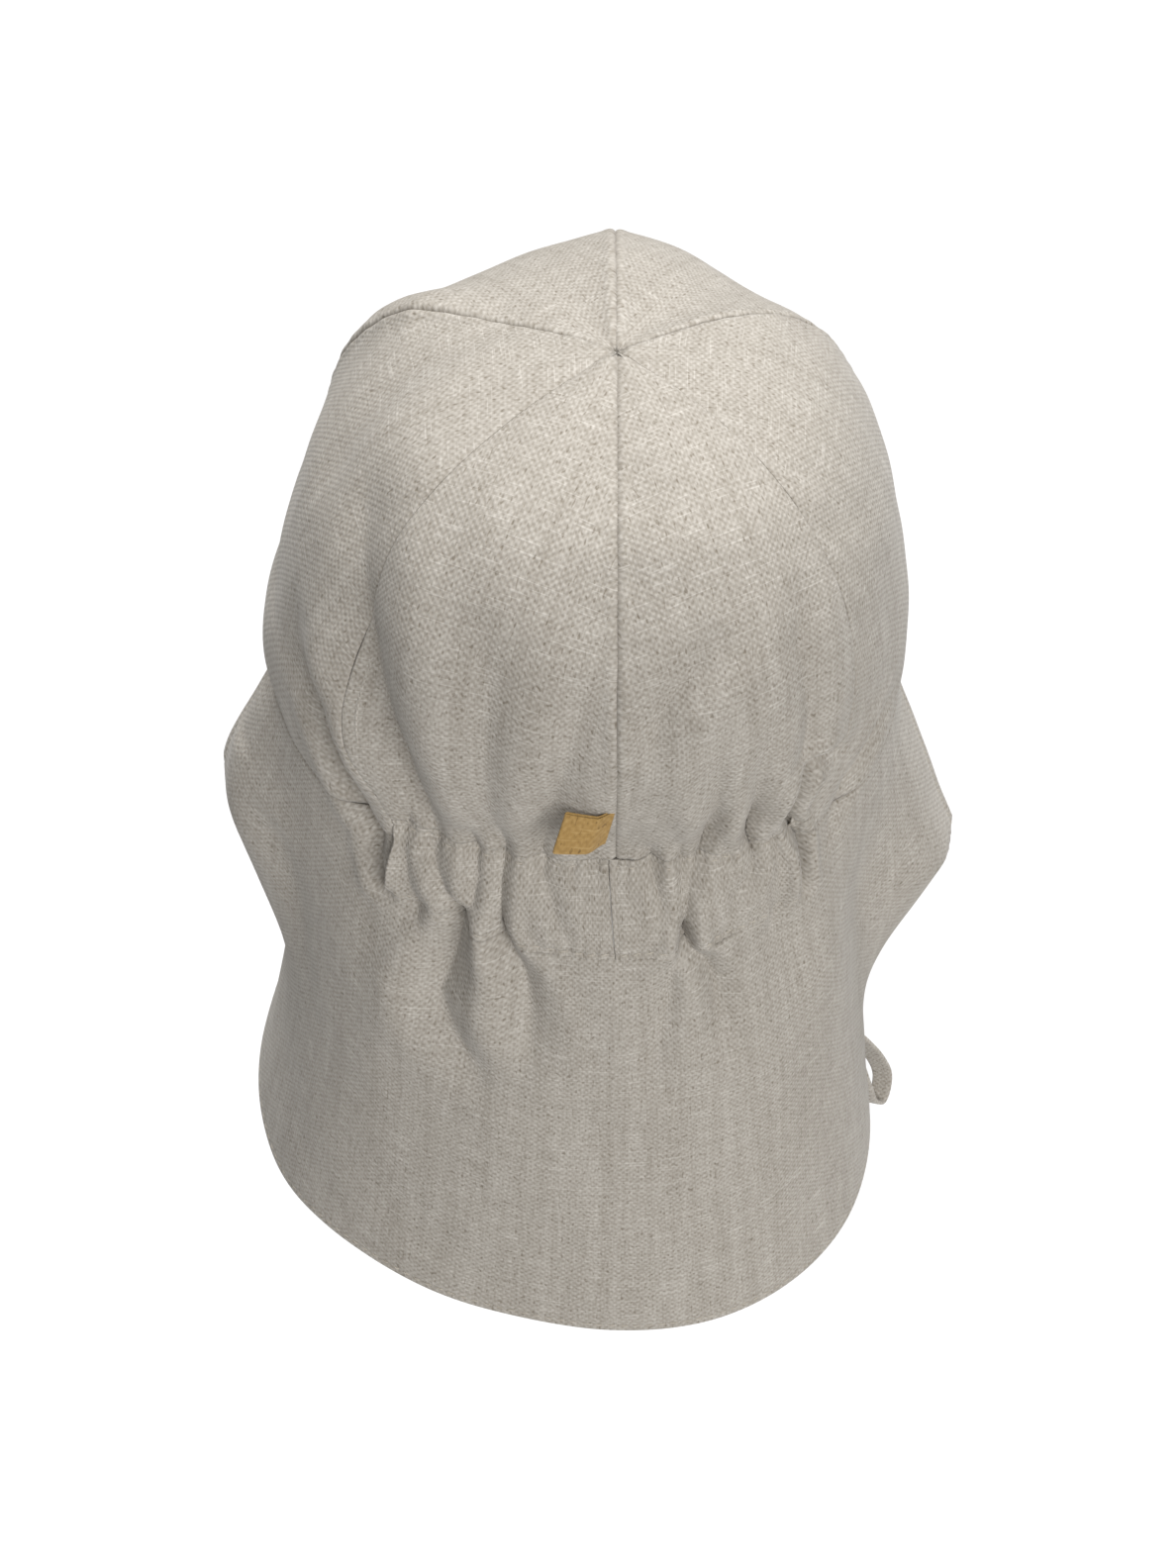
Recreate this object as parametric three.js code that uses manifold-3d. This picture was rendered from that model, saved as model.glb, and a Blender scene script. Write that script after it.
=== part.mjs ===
// A child's legionnaire sun cap of natural linen: a crown of six gores, an elastic casing at the nape,
// a long neck flap, a stiffened peak and two chin ties.
// Millimetres. The rim lies in the plane Z = 0 around the origin, the peak points along -Y, the nape is
// at +Y and the wearer's left is +X. A turn is an angle around Z in degrees, 0 at the nape and 90 at the left.
import * as THREE from 'three';
import { mergeVertices } from 'three/addons/utils/BufferGeometryUtils.js';
import Module from 'manifold-3d';

// Driving dimensions of the crown.
const headWidth = 158;
const headLength = 172;
const rimSquareness = 2.1;
const crownHeight = 112;
const clothWall = 1.4;
const seamGap = 0.3;
const apexOpening = 1.2;
const backSwell = 2.2;
const sideSwell = 0.4;
const frontSwell = -3.5;
const crownFoldDepth = 3.2;
const seamSlip = 7.5;
const slipReach = 98;
const crownLean = 3.5;

// Driving dimensions of the casing at the nape.
const casingDrop = 19;
const casingTop = 6;
const casingPuff = 2.2;
const napeSpread = 12;
const gathersPerSide = 5;
const gatherDepth = 1.5;
const gatherFade = 30;
const gatherEnd = 0.2;
const casingEndSpread = 0.6;

// Driving dimensions of the neck flap.
const flapLength = 164;
const flapFlare = 20;
const flapHang = 11;
const flapHangSpread = 1.5;
const flapTurn = 92;
const flapCornerRadius = 28;
const flapFoldDepth = 5;
const foldStart = 0.15;

// Driving dimensions of the peak.
const peakTurn = 107;
const peakReach = 54;
const peakDrop = 15;
const peakWall = 2.6;
const peakEndReach = 5;
const peakSplay = 0.35;
const peakFullness = 0.8;
const peakCurl = 1.3;
const peakEndFall = 0.5;

// Driving dimensions of the label and the chin ties.
const labelLength = 11;
const labelHeight = 9;
const labelRoot = 7;
const labelBend = 0.4;
const labelWall = 0.9;
const labelLift = 2.5;
const labelTilt = 4.5;
const labelFoot = 22;
const labelDroop = 4;
const tieWidth = 6;
const tieWall = 1.4;
const tieAt = 0.955;
const tieSeamTop = 108;
const tieSeamLength = 12;
const tieClearance = 0.4;
const knotSize = 11;

// How finely the bent shapes are divided.
const crownSteps = 11;
const goreSteps = 8;
const stepsPerGather = 4;
const casingSteps = 4;
const flapSteps = 13;
const wingSteps = 10;
const peakSteps = 22;
const peakRows = 6;
const labelSteps = 6;
const labelRows = 3;
const tieStep = 6;
const bowStep = 3;

// Crown sections from the rim to the top. The rise is a share of the crown height; back, side and front
// are shares of the rim's radius there; the seams are turns.
const crownRows = [
  { rise: 0.00, back: 0.80, side: 1.000, front: 1.00, backSeam: 41, frontSeam: 118 },
  { rise: 0.10, back: 0.79, side: 1.005, front: 1.01, backSeam: 44, frontSeam: 119 },
  { rise: 0.26, back: 0.84, side: 0.990, front: 1.00, backSeam: 50, frontSeam: 120 },
  { rise: 0.46, back: 0.865, side: 0.935, front: 0.95, backSeam: 53, frontSeam: 120 },
  { rise: 0.68, back: 0.79, side: 0.835, front: 0.85, backSeam: 53, frontSeam: 120 },
  { rise: 0.87, back: 0.60, side: 0.630, front: 0.64, backSeam: 52, frontSeam: 120 },
  { rise: 0.96, back: 0.36, side: 0.375, front: 0.39, backSeam: 52, frontSeam: 120 },
  { rise: 1.00, back: 0.00, side: 0.000, front: 0.00, backSeam: 52, frontSeam: 120 },
];

// Broad soft folds of the crown: each runs from a turn low on the crown to a turn further up.
// Heights are shares of the way up the cloth, depths shares of the fold depth, below 0 for a valley.
const crownFolds = [
  { lowTurn: 31, highTurn: 53, low: 0.12, high: 0.62, depth: -0.9, width: 6 },
  { lowTurn: 38, highTurn: 62, low: 0.10, high: 0.45, depth: 0.9, width: 5 },
  { lowTurn: 90, highTurn: 90, low: 0.00, high: 0.20, depth: 0.7, width: 20 },
  { lowTurn: 15, highTurn: 24, low: 0.12, high: 0.50, depth: -0.5, width: 5 },
  { lowTurn: -20, highTurn: -30, low: 0.12, high: 0.52, depth: -0.6, width: 5 },
  { lowTurn: -33, highTurn: -50, low: 0.12, high: 0.55, depth: -0.7, width: 6 },
];

// Sections of the neck flap, from its right front edge (-1) round the nape (0) to its left one (1).
// Wing, waist and hem are how far the cloth stands out from the rim's oval there, as shares of the flare,
// and wingAt, waistAt and drop are how far down that is, as shares of the flap's length. The crease is how
// sharply the cloth turns at the wing and the waist, from 0 for a soft bend to 1 for a straight fold.
const flapRows = [
  { at: -1.00, wing: 1.05, wingAt: 0.43, waist: 0.28, waistAt: 0.72, hem: -0.30, drop: 0.95, crease: 0.9 },
  { at: -0.88, wing: 0.85, wingAt: 0.42, waist: -0.05, waistAt: 0.74, hem: -0.05, drop: 0.98, crease: 0.8 },
  { at: -0.70, wing: -0.15, wingAt: 0.32, waist: 0.10, waistAt: 0.70, hem: 0.42, drop: 1.01, crease: 0.2 },
  { at: -0.50, wing: 0.10, wingAt: 0.32, waist: 0.35, waistAt: 0.62, hem: 0.80, drop: 1.01, crease: 0 },
  { at: -0.20, wing: 0.02, wingAt: 0.32, waist: 0.42, waistAt: 0.62, hem: 0.95, drop: 1.00, crease: 0 },
  { at: 0.00, wing: 0.02, wingAt: 0.32, waist: 0.42, waistAt: 0.62, hem: 0.95, drop: 0.99, crease: 0 },
  { at: 0.20, wing: 0.02, wingAt: 0.32, waist: 0.42, waistAt: 0.62, hem: 0.92, drop: 0.98, crease: 0 },
  { at: 0.50, wing: 0.10, wingAt: 0.30, waist: 0.42, waistAt: 0.62, hem: 0.98, drop: 0.98, crease: 0 },
  { at: 0.70, wing: 0.10, wingAt: 0.28, waist: 0.30, waistAt: 0.63, hem: 0.95, drop: 1.02, crease: 0.2 },
  { at: 0.88, wing: 0.72, wingAt: 0.26, waist: 0.24, waistAt: 0.64, hem: 0.78, drop: 0.98, crease: 0.5 },
  { at: 1.00, wing: 0.85, wingAt: 0.26, waist: 0.15, waistAt: 0.66, hem: 0.50, drop: 0.95, crease: 0.6 },
];

// Broad folds that run down the flap from the casing, in the flap's own shares across and down.
const flapFolds = [
  { topAt: 0.28, endAt: 0.25, low: 0.10, high: 0.72, depth: -0.8, width: 0.045 },
  { topAt: 0.19, endAt: 0.13, low: 0.10, high: 0.50, depth: -0.5, width: 0.035 },
  { topAt: 0.24, endAt: 0.20, low: 0.10, high: 0.60, depth: 0.5, width: 0.040 },
  { topAt: -0.20, endAt: -0.28, low: 0.10, high: 0.52, depth: -0.6, width: 0.040 },
  { topAt: -0.16, endAt: -0.10, low: 0.10, high: 0.60, depth: -0.5, width: 0.035 },
];

// Routes of the hanging ties and of their bow, chosen points from the fixed end to the free one.
const leftTieRoute = [
  [79, -14, -142], [70, -20, -166], [44, -30, -190], [6, -34, -202], [-32, -26, -193], [-52, -12, -177],
  [-63, -4.5, -169],
];
const rightTieRoute = [[-76.5, -9, -134], [-73, -7, -148], [-72.8, -3, -158]];
const knotPlace = [-76, 0, -168];
const rightLoopRoute = [
  [-82, -2, -179], [-88, -3, -190], [-91.5, -3, -200], [-90, 0, -208], [-86, 3, -205], [-84, 4, -196],
  [-80.5, 3, -183],
];
const leftLoopRoute = [
  [-70, -1, -179], [-62, -2, -190], [-57, -1, -200], [-59, 1, -207], [-64, 3, -203], [-68, 3, -192],
  [-72, 2, -181],
];
const firstTailRoute = [[-77, -5, -181], [-77, -8, -197], [-74, -9, -212]];
const secondTailRoute = [[-73, 4, -181], [-72, 6, -195], [-75, 7, -207]];

const rimHalfWidth = headWidth / 2 + clothWall / 2;
const rimHalfLength = headLength / 2 + clothWall / 2;
const radians = THREE.MathUtils.degToRad;
const degrees = THREE.MathUtils.radToDeg;
const between = THREE.MathUtils.lerp;

const wasm = await Module();
wasm.setup();

// Reads the named columns of a table as smooth curves over one of them.
function smoothColumns(rows, along) {
  const stations = rows.map((row) => row[along]);
  const curves = {};
  for (const name of Object.keys(rows[0])) {
    curves[name] = new THREE.CubicInterpolant(stations, rows.map((row) => row[name]), 1);
  }
  return (name, station) => curves[name].evaluate(station)[0];
}

// The rim's radius at a turn: an oval that is a little squarer than an ellipse.
function rimRadius(turn) {
  const across = Math.abs(Math.sin(radians(turn))) / rimHalfWidth;
  const along = Math.abs(Math.cos(radians(turn))) / rimHalfLength;
  return (across ** rimSquareness + along ** rimSquareness) ** (-1 / rimSquareness);
}

// The level way out from the axis at a turn.
function outwardAt(turn) {
  return new THREE.Vector3(Math.sin(radians(turn)), Math.cos(radians(turn)), 0);
}

// A point at a turn, a distance from the axis and a height.
function atTurn(turn, radius, height) {
  return outwardAt(turn).multiplyScalar(radius).setZ(height);
}

// The crown rows with the length of cloth below each, along the side of the crown.
function measuredCrownRows() {
  let length = 0;
  return crownRows.map((row, i) => {
    const before = crownRows[Math.max(0, i - 1)];
    const rise = (row.rise - before.rise) * crownHeight;
    const run = (row.side - before.side) * rimHalfWidth;
    length += Math.hypot(rise, run);
    return { ...row, up: length };
  });
}

const crownColumn = smoothColumns(measuredCrownRows(), 'up');
const crownCloth = measuredCrownRows().at(-1).up;
const flapColumn = smoothColumns(flapRows, 'at');
const casingTurn = crownRows[0].backSeam;
const gatheredSteps = gathersPerSide * stepsPerGather;
const tieHalfShare = tieWidth / 2 / (radians(flapTurn) * rimHalfWidth);

// The smooth crown's distance from the axis at a turn and a length of cloth above the rim.
function crownRadius(turn, up) {
  const facing = Math.cos(radians(turn));
  const back = Math.max(0, facing) ** 2;
  const front = Math.max(0, -facing) ** 2;
  const reach = crownColumn('back', up) * back
    + crownColumn('front', up) * front
    + crownColumn('side', up) * (1 - back - front);
  return rimRadius(turn) * reach;
}

// The smooth crown without its seams and folds.
function crownBase(turn, up) {
  return atTurn(turn, crownRadius(turn, up), crownColumn('rise', up) * crownHeight);
}

// The way out of the smooth crown, square to its surface.
function crownOutward(turn, up) {
  const step = 0.3;
  const low = THREE.MathUtils.clamp(up - step, 0, crownCloth - 2 * step);
  const around = crownBase(turn + 1, up).sub(crownBase(turn - 1, up));
  const upward = crownBase(turn, low + 2 * step).sub(crownBase(turn, low));
  return around.cross(upward).negate().normalize();
}

// The length of cloth above the rim at which the crown reaches a height.
function upAtHeight(height) {
  let low = 0;
  let high = crownCloth;
  while (high - low > 1e-6) {
    const middle = (low + high) / 2;
    if (crownColumn('rise', middle) * crownHeight < height) {
      low = middle;
    } else {
      high = middle;
    }
  }
  return low;
}

// How far the broad folds move the crown's cloth out or in.
function crownFold(turn, up) {
  let sum = 0;
  for (const fold of crownFolds) {
    const along = (up / crownCloth - fold.low) / (fold.high - fold.low);
    if (along > 0 && along < 1) {
      const away = (turn - between(fold.lowTurn, fold.highTurn, along)) / fold.width;
      sum += fold.depth * crownFoldDepth * Math.exp(-away * away) * Math.sin(Math.PI * along);
    }
  }
  return sum;
}

// The gathers across one half of the nape, from the centre seam (0) to the end of the elastic (1).
function gathers(share) {
  const fading = THREE.MathUtils.smoothstep(1 - share, 0, gatherEnd);
  return -gatherDepth * Math.cos(2 * Math.PI * gathersPerSide * share) * fading;
}

// The cap's centre seams have slipped to the wearer's right, and its top leans that way too.
function slipped(point) {
  const away = Math.min(1, Math.abs(point.x) / slipReach);
  const middle = (1 + Math.cos(Math.PI * away)) / 2;
  const rise = THREE.MathUtils.clamp(point.z / crownHeight, 0, 1);
  point.x -= seamSlip * middle + crownLean * rise * (1 - middle);
  return point;
}

// A slab that is thin in its third direction, subdivided across and down and then bent: shape(u, v, side)
// gives each point for u and v from 0 to 1 and side from -0.5 inside to 0.5 outside.
function bentSlab(across, down, shape) {
  const slab = new THREE.BoxGeometry(1, 1, 1, across, down, 1);
  const place = slab.getAttribute('position');
  for (let i = 0; i < place.count; i += 1) {
    const u = Math.round((place.getX(i) + 0.5) * across) / across;
    const v = Math.round((place.getY(i) + 0.5) * down) / down;
    const point = shape(u, v, place.getZ(i));
    place.setXYZ(i, point.x, point.y, point.z);
  }
  return welded(slab);
}

// The geometry with each corner stored once.
function welded(geometry) {
  geometry.deleteAttribute('normal');
  geometry.deleteAttribute('uv');
  const closed = mergeVertices(geometry, 1e-5);
  closed.computeVertexNormals();
  return closed;
}

const linen = { color: 0xb9a98f, roughness: 0.92, metalness: 0 };
const tan = { color: 0xa9772f, roughness: 0.85, metalness: 0 };

function piece(name, geometry, look) {
  const mesh = new THREE.Mesh(geometry, new THREE.MeshStandardMaterial(look));
  mesh.name = name;
  return mesh;
}

// The crown's rows of points, from the top down to the casing and on to the rim, as lengths of cloth.
function crownStations() {
  const overCasing = upAtHeight(casingTop + seamGap);
  const stations = [];
  for (let i = 0; i <= crownSteps; i += 1) {
    stations.push(between(crownCloth - apexOpening, overCasing, i / crownSteps));
  }
  return [...stations, 0];
}

// One gore, between two seams whose turns are functions of the cloth below, down through some stations.
function gore(name, seams, across, stations) {
  const foot = stations.at(-1);
  const geometry = bentSlab(across, stations.length - 1, (u, v, out) => {
    const up = stations[Math.round(v * (stations.length - 1))];
    const edges = [seams.sign * seams.back(up), seams.sign * seams.front(up)].sort((a, b) => a - b);
    const trim = degrees(seamGap / 2 / crownRadius((edges[0] + edges[1]) / 2, up));
    const turn = between(edges[0] + trim, edges[1] - trim, u);
    const swell = seams.swell * Math.sin(Math.PI * u) * Math.sqrt(Math.sin(Math.PI * up / crownCloth));
    const share = seams.sign > 0 ? u : 1 - u;
    const gather = seams.gathered ? gathers(share) * Math.exp((foot - up) / gatherFade) : 0;
    const offset = swell + gather + crownFold(turn, up) + out * clothWall;
    return slipped(crownBase(turn, up).addScaledVector(crownOutward(turn, up), offset));
  });
  return piece(name, geometry, linen);
}

function goresOf(sideName, sign) {
  const centreBack = () => 0;
  const back = (up) => crownColumn('backSeam', up);
  const front = (up) => crownColumn('frontSeam', up);
  const centreFront = () => 180;
  const stations = crownStations();
  const backSeams = { sign, back: centreBack, front: back, swell: backSwell, gathered: true };
  const sideSeams = { sign, back, front, swell: sideSwell };
  const frontSeams = { sign, back: front, front: centreFront, swell: frontSwell };
  return [
    gore(`gore_back_${sideName}`, backSeams, gatheredSteps, stations.slice(0, -1)),
    gore(`gore_side_${sideName}`, sideSeams, goreSteps, stations),
    gore(`gore_front_${sideName}`, frontSeams, goreSteps, stations),
  ];
}

// How far out and how far down the casing's lower edge lies, at a share of the way to its end.
function casingFoot(share) {
  const spread = between(casingEndSpread, 1, Math.cos(Math.PI / 2 * share) ** 2);
  return {
    radius: crownRadius(share * casingTurn, 0) + napeSpread * spread,
    down: casingDrop,
  };
}

// One half of the elastic casing: it puffs out between its two stitched lines and is gathered across.
// Its end follows the side gore's seam down to the rim.
function casing(sideName, sign) {
  const top = upAtHeight(casingTop);
  const geometry = bentSlab(gatheredSteps, casingSteps, (u, v, out) => {
    const share = sign > 0 ? u : 1 - u;
    const trim = degrees(seamGap / 2 / rimHalfLength);
    const height = between(casingTop, -casingDrop, v);
    const end = crownColumn('backSeam', upAtHeight(Math.max(0, height))) - 2 * trim;
    const turn = sign * between(trim, end, share);
    const foot = casingFoot(share);
    const base = crownBase(turn, top).lerp(atTurn(turn, foot.radius, -foot.down), v);
    const outward = crownOutward(turn, top).lerp(outwardAt(turn), v).normalize();
    const offset = casingPuff * Math.sin(Math.PI * v) + gathers(share) + out * clothWall;
    return slipped(base.addScaledVector(outward, offset));
  });
  return piece(`casing_${sideName}`, geometry, linen);
}

// The upper edge of the flap at a share across: under the casing at the nape, under the gores beside it.
function flapTop(at) {
  const share = Math.abs(at) * flapTurn / casingTurn;
  return share <= 1 ? casingFoot(share) : { radius: crownRadius(at * flapTurn, 0), down: 0 };
}

// How far down the flap reaches at a share across, with its front lower corners rounded off.
function flapDepth(at) {
  const fromEdge = (1 - Math.abs(at)) * radians(flapTurn) * rimHalfWidth;
  const inside = Math.max(0, flapCornerRadius - fromEdge);
  const corner = flapCornerRadius - Math.sqrt(flapCornerRadius ** 2 - inside ** 2);
  return flapLength * flapColumn('drop', at) - corner;
}

// The flap's distance from the axis, at a share across and a distance down.
function flapRadius(at, down) {
  const top = flapTop(at);
  const oval = rimRadius(at * flapTurn);
  const depths = [top.down, top.down + flapHang];
  const radii = [top.radius, top.radius + flapHangSpread];
  for (const [stand, place] of [['wing', 'wingAt'], ['waist', 'waistAt'], ['hem', 'drop']]) {
    depths.push(flapLength * flapColumn(place, at));
    radii.push(oval + flapFlare * flapColumn(stand, at));
  }
  const soft = new THREE.CubicInterpolant(depths, radii, 1).evaluate(down)[0];
  const straight = new THREE.LinearInterpolant(depths, radii, 1).evaluate(down)[0];
  return between(soft, straight, Math.max(0, flapColumn('crease', at)));
}

// How far the folds from the casing move the flap's cloth out or in.
function flapFold(at, down) {
  const share = Math.abs(at) * flapTurn / casingTurn;
  let sum = share < 1 ? gathers(share) * Math.exp((casingFoot(share).down - down) / gatherFade) : 0;
  for (const fold of flapFolds) {
    const along = (down / flapLength - fold.low) / (fold.high - fold.low);
    if (along > 0 && along < 1) {
      const away = (at - between(fold.topAt, fold.endAt, along)) / fold.width;
      sum += fold.depth * flapFoldDepth * Math.exp(-away * away) * Math.cos(Math.PI / 2 * along)
        * THREE.MathUtils.smoothstep(along, 0, foldStart);
    }
  }
  return sum;
}

// The flap's shares across: close steps over the gathers, wide ones beside them.
function flapStations() {
  const gathered = casingTurn / flapTurn;
  const beyond = gathered + clothWall / rimHalfWidth / radians(flapTurn);
  const half = [];
  for (let i = 1; i <= gatheredSteps; i += 1) {
    half.push(gathered * i / gatheredSteps);
  }
  for (let i = 0; i <= wingSteps; i += 1) {
    half.push(between(beyond, 1, i / wingSteps));
  }
  return [...half.map((at) => -at).reverse(), 0, ...half];
}

function flapPoint(at, down, out) {
  const turn = at * flapTurn;
  const radius = flapRadius(at, down) + flapFold(at, down) + out;
  return slipped(atTurn(turn, radius, -seamGap - down));
}

function neckFlap() {
  const stations = flapStations();
  const last = stations.length - 1;
  const geometry = bentSlab(last, flapSteps, (u, v, out) => {
    const at = stations[Math.round(u * last)];
    return flapPoint(at, between(flapTop(at).down, flapDepth(at), v), out * clothWall);
  });
  return piece('neck_flap', geometry, linen);
}

// The stiffened peak: a crescent that leaves the rim between the flap's ends and slopes down.
function peak() {
  const geometry = bentSlab(peakSteps, peakRows, (u, v, out) => {
    const turn = between(peakTurn, 360 - peakTurn, u);
    const inner = atTurn(turn, crownRadius(turn, 0) - clothWall / 2, 0);
    const ahead = new THREE.Vector3(0, -1, 0).lerp(outwardAt(turn), peakSplay).normalize();
    const reach = between(peakEndReach, peakReach, Math.sin(Math.PI * u) ** peakFullness);
    const ends = 1 + peakEndFall * Math.cos(Math.PI * u) ** 2;
    const fall = peakDrop * (reach / peakReach) * v ** peakCurl * ends;
    const point = inner.addScaledVector(ahead, reach * v);
    point.z = -seamGap - peakWall / 2 - fall + out * peakWall;
    return slipped(point);
  });
  return piece('peak', geometry, linen);
}

// The folded label: sewn into the centre-back seam over the casing, it stands off to the left and its
// lower edge tilts out.
function label() {
  const geometry = bentSlab(labelSteps, labelRows, (u, v, out) => {
    const height = between(labelRoot, labelHeight, Math.sqrt(u));
    const up = upAtHeight(casingTop) + labelFoot + height * (1 - v) - labelDroop * u;
    const turn = degrees((seamGap + labelLength * u) / crownRadius(0, up));
    const clear = clothWall / 2 + seamGap + labelWall / 2;
    const bent = THREE.MathUtils.smoothstep(u, 0, labelBend);
    const over = between(-gatherDepth / 2, gatherDepth + backSwell / 2, bent);
    const offset = clear + over + labelLift * u + labelTilt * v + out * labelWall;
    return slipped(crownBase(turn, up).addScaledVector(crownOutward(turn, up), offset));
  });
  return piece('label', geometry, tan);
}

// A flat strap along a route. Its width lies as nearly along the given direction as the route lets it.
function strap(route, widthWay, step) {
  const curve = new THREE.CatmullRomCurve3(route, false, 'centripetal');
  return bentSlab(Math.ceil(curve.getLength() / step), 1, (u, v, out) => {
    const ahead = curve.getTangentAt(u);
    const across = widthWay.clone().addScaledVector(ahead, -widthWay.dot(ahead)).normalize();
    const face = ahead.clone().cross(across);
    return curve.getPointAt(u)
      .addScaledVector(across, (v - 0.5) * tieWidth)
      .addScaledVector(face, out * tieWall);
  });
}

const vectors = (route) => route.map((place) => new THREE.Vector3(...place));
const knotCentre = new THREE.Vector3(...knotPlace);

// One tie, sewn flat inside the front edge of the flap, along its route to the knot.
function chinTie(sideName, sign, route) {
  const inward = -(clothWall / 2 + tieClearance + tieWall / 2);
  const middle = tieSeamTop + tieSeamLength / 2;
  const sewn = [tieSeamTop, middle, tieSeamTop + tieSeamLength]
    .map((down) => flapPoint(sign * tieAt, down, inward));
  const alongEdge = flapPoint(sign * (tieAt - tieHalfShare), middle, 0)
    .sub(flapPoint(sign * (tieAt + tieHalfShare), middle, 0))
    .normalize();
  const free = vectors(route);
  const arriving = free.at(-1).clone().sub(knotCentre).normalize();
  const end = knotCentre.clone().addScaledVector(arriving, knotSize / 2 + seamGap);
  return piece(`chin_tie_${sideName}`, strap([...sewn, ...free, end], alongEdge, tieStep), linen);
}

function solidOf(geometry) {
  const vertProperties = new Float32Array(geometry.getAttribute('position').array);
  const triVerts = new Uint32Array(geometry.index.array);
  return new wasm.Manifold(new wasm.Mesh({ numProp: 3, vertProperties, triVerts }));
}

function geometryOf(solid) {
  const mesh = solid.getMesh();
  const geometry = new THREE.BufferGeometry();
  geometry.setAttribute('position', new THREE.BufferAttribute(mesh.vertProperties, 3));
  geometry.setIndex(new THREE.BufferAttribute(mesh.triVerts, 1));
  return geometry;
}

// The bow: a round knot with two hanging loops and two tails.
function tieBow() {
  const knot = welded(new THREE.SphereGeometry(knotSize / 2, 12, 8));
  knot.translate(knotCentre.x, knotCentre.y, knotCentre.z);
  const parts = [
    strap([knotCentre, ...vectors(rightLoopRoute), knotCentre], new THREE.Vector3(-0.8, 0.6, 0), bowStep),
    strap([knotCentre, ...vectors(leftLoopRoute), knotCentre], new THREE.Vector3(0, 1, 0), bowStep),
    strap([knotCentre, ...vectors(firstTailRoute)], new THREE.Vector3(1, 0.3, 0), bowStep),
    strap([knotCentre, ...vectors(secondTailRoute)], new THREE.Vector3(1, -0.3, 0), bowStep),
  ];
  const bow = parts.reduce((whole, part) => whole.add(solidOf(part)), solidOf(knot));
  return piece('tie_bow', geometryOf(bow), linen);
}

const cap = new THREE.Group();
cap.add(...goresOf('left', 1), ...goresOf('right', -1));
cap.add(casing('left', 1), casing('right', -1));
cap.add(neckFlap(), peak(), label());
cap.add(chinTie('left', 1, leftTieRoute), chinTie('right', -1, rightTieRoute), tieBow());

export default cap;
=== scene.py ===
# %% [markdown]
# A child's legionnaire cap of natural linen, seen from behind and above as it sits on a head.
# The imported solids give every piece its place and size. This script sews the same cap again with its
# looks: gathers, soft folds, pressed seams, stitches and the weave. It is written to be read from the
# top: each step says what the piece is on the real cap, how it could be made, and why this way.

import bpy
import numpy as np
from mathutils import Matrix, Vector


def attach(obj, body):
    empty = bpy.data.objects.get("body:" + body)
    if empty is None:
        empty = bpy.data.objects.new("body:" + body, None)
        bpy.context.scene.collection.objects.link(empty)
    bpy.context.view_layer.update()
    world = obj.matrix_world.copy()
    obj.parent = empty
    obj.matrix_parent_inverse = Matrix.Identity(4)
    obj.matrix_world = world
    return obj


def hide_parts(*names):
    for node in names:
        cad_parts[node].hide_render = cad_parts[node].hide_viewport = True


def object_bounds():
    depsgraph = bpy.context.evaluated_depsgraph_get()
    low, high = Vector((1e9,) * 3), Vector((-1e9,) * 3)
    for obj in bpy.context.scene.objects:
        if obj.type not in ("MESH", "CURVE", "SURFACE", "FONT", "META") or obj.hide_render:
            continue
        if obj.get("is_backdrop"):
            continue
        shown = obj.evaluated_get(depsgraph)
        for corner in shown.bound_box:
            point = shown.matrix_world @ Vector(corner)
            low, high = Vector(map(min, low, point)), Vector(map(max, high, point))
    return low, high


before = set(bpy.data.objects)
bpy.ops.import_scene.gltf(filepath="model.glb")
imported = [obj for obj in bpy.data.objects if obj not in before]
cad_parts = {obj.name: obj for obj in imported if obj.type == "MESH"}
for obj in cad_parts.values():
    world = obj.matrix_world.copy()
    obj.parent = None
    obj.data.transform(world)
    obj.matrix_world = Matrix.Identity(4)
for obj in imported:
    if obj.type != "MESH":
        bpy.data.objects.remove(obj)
solid_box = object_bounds()
MM = 0.001
print("solids", len(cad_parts), "box in mm", [round((b - a) / MM, 1) for a, b in zip(*solid_box)])

# %% [markdown]
# The camera stands where the photographer's did: behind the nape and 52 degrees above it, 0.9 m away.
# A long lens keeps the crown from swelling towards us. It could be placed by eye, but the height of the
# crown over the rim and the width of the rim fix both its angle and its distance, so they are used.

# %% The camera
CAMERA_PLACE = (-0.77, 579.5, 689.4)
CAMERA_LOOK = (0.0, -0.6157, -0.788)
LENS = 79.8
camera_data = bpy.data.cameras.new("camera")
camera = bpy.data.objects.new("camera", camera_data)
bpy.context.collection.objects.link(camera)
camera.location = [x * MM for x in CAMERA_PLACE]
camera.rotation_mode = "QUATERNION"
camera.rotation_quaternion = Vector(CAMERA_LOOK).to_track_quat("-Z", "Y")
camera_data.lens = LENS
camera_data.clip_start, camera_data.clip_end = 0.05, 20
bpy.context.scene.camera = camera
print("camera", round(Vector(camera.location).length, 3), "m from the rim's centre")

# %% [markdown]
# Every piece of cloth is a surface of two shares: u goes round the cap from the wearer's right to the
# left, and v goes down. It could be modelled as a flat plane with a Solidify modifier, but a cut edge of
# folded linen is round, so the wall is worked out here: an outer skin, an inner skin, and edges that roll
# from the one to the other. The flat cut of the cloth is kept as the UV map, in metres, for the weave.

# %% Shares, curves and lengths
def shares(count, ease=0.0):
    """Even shares from 0 to 1, moved towards both ends by ease times a sine, for round edges."""
    t = np.linspace(0.0, 1.0, count)
    return t - ease * np.sin(2 * np.pi * t) / (2 * np.pi)


def eased(t):
    """0 up to 0, 1 from 1 on, and between them the curve 3t^2 - 2t^3, level at both ends."""
    t = np.clip(t, 0.0, 1.0)
    return t**2 * (3 - 2 * t)


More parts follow.
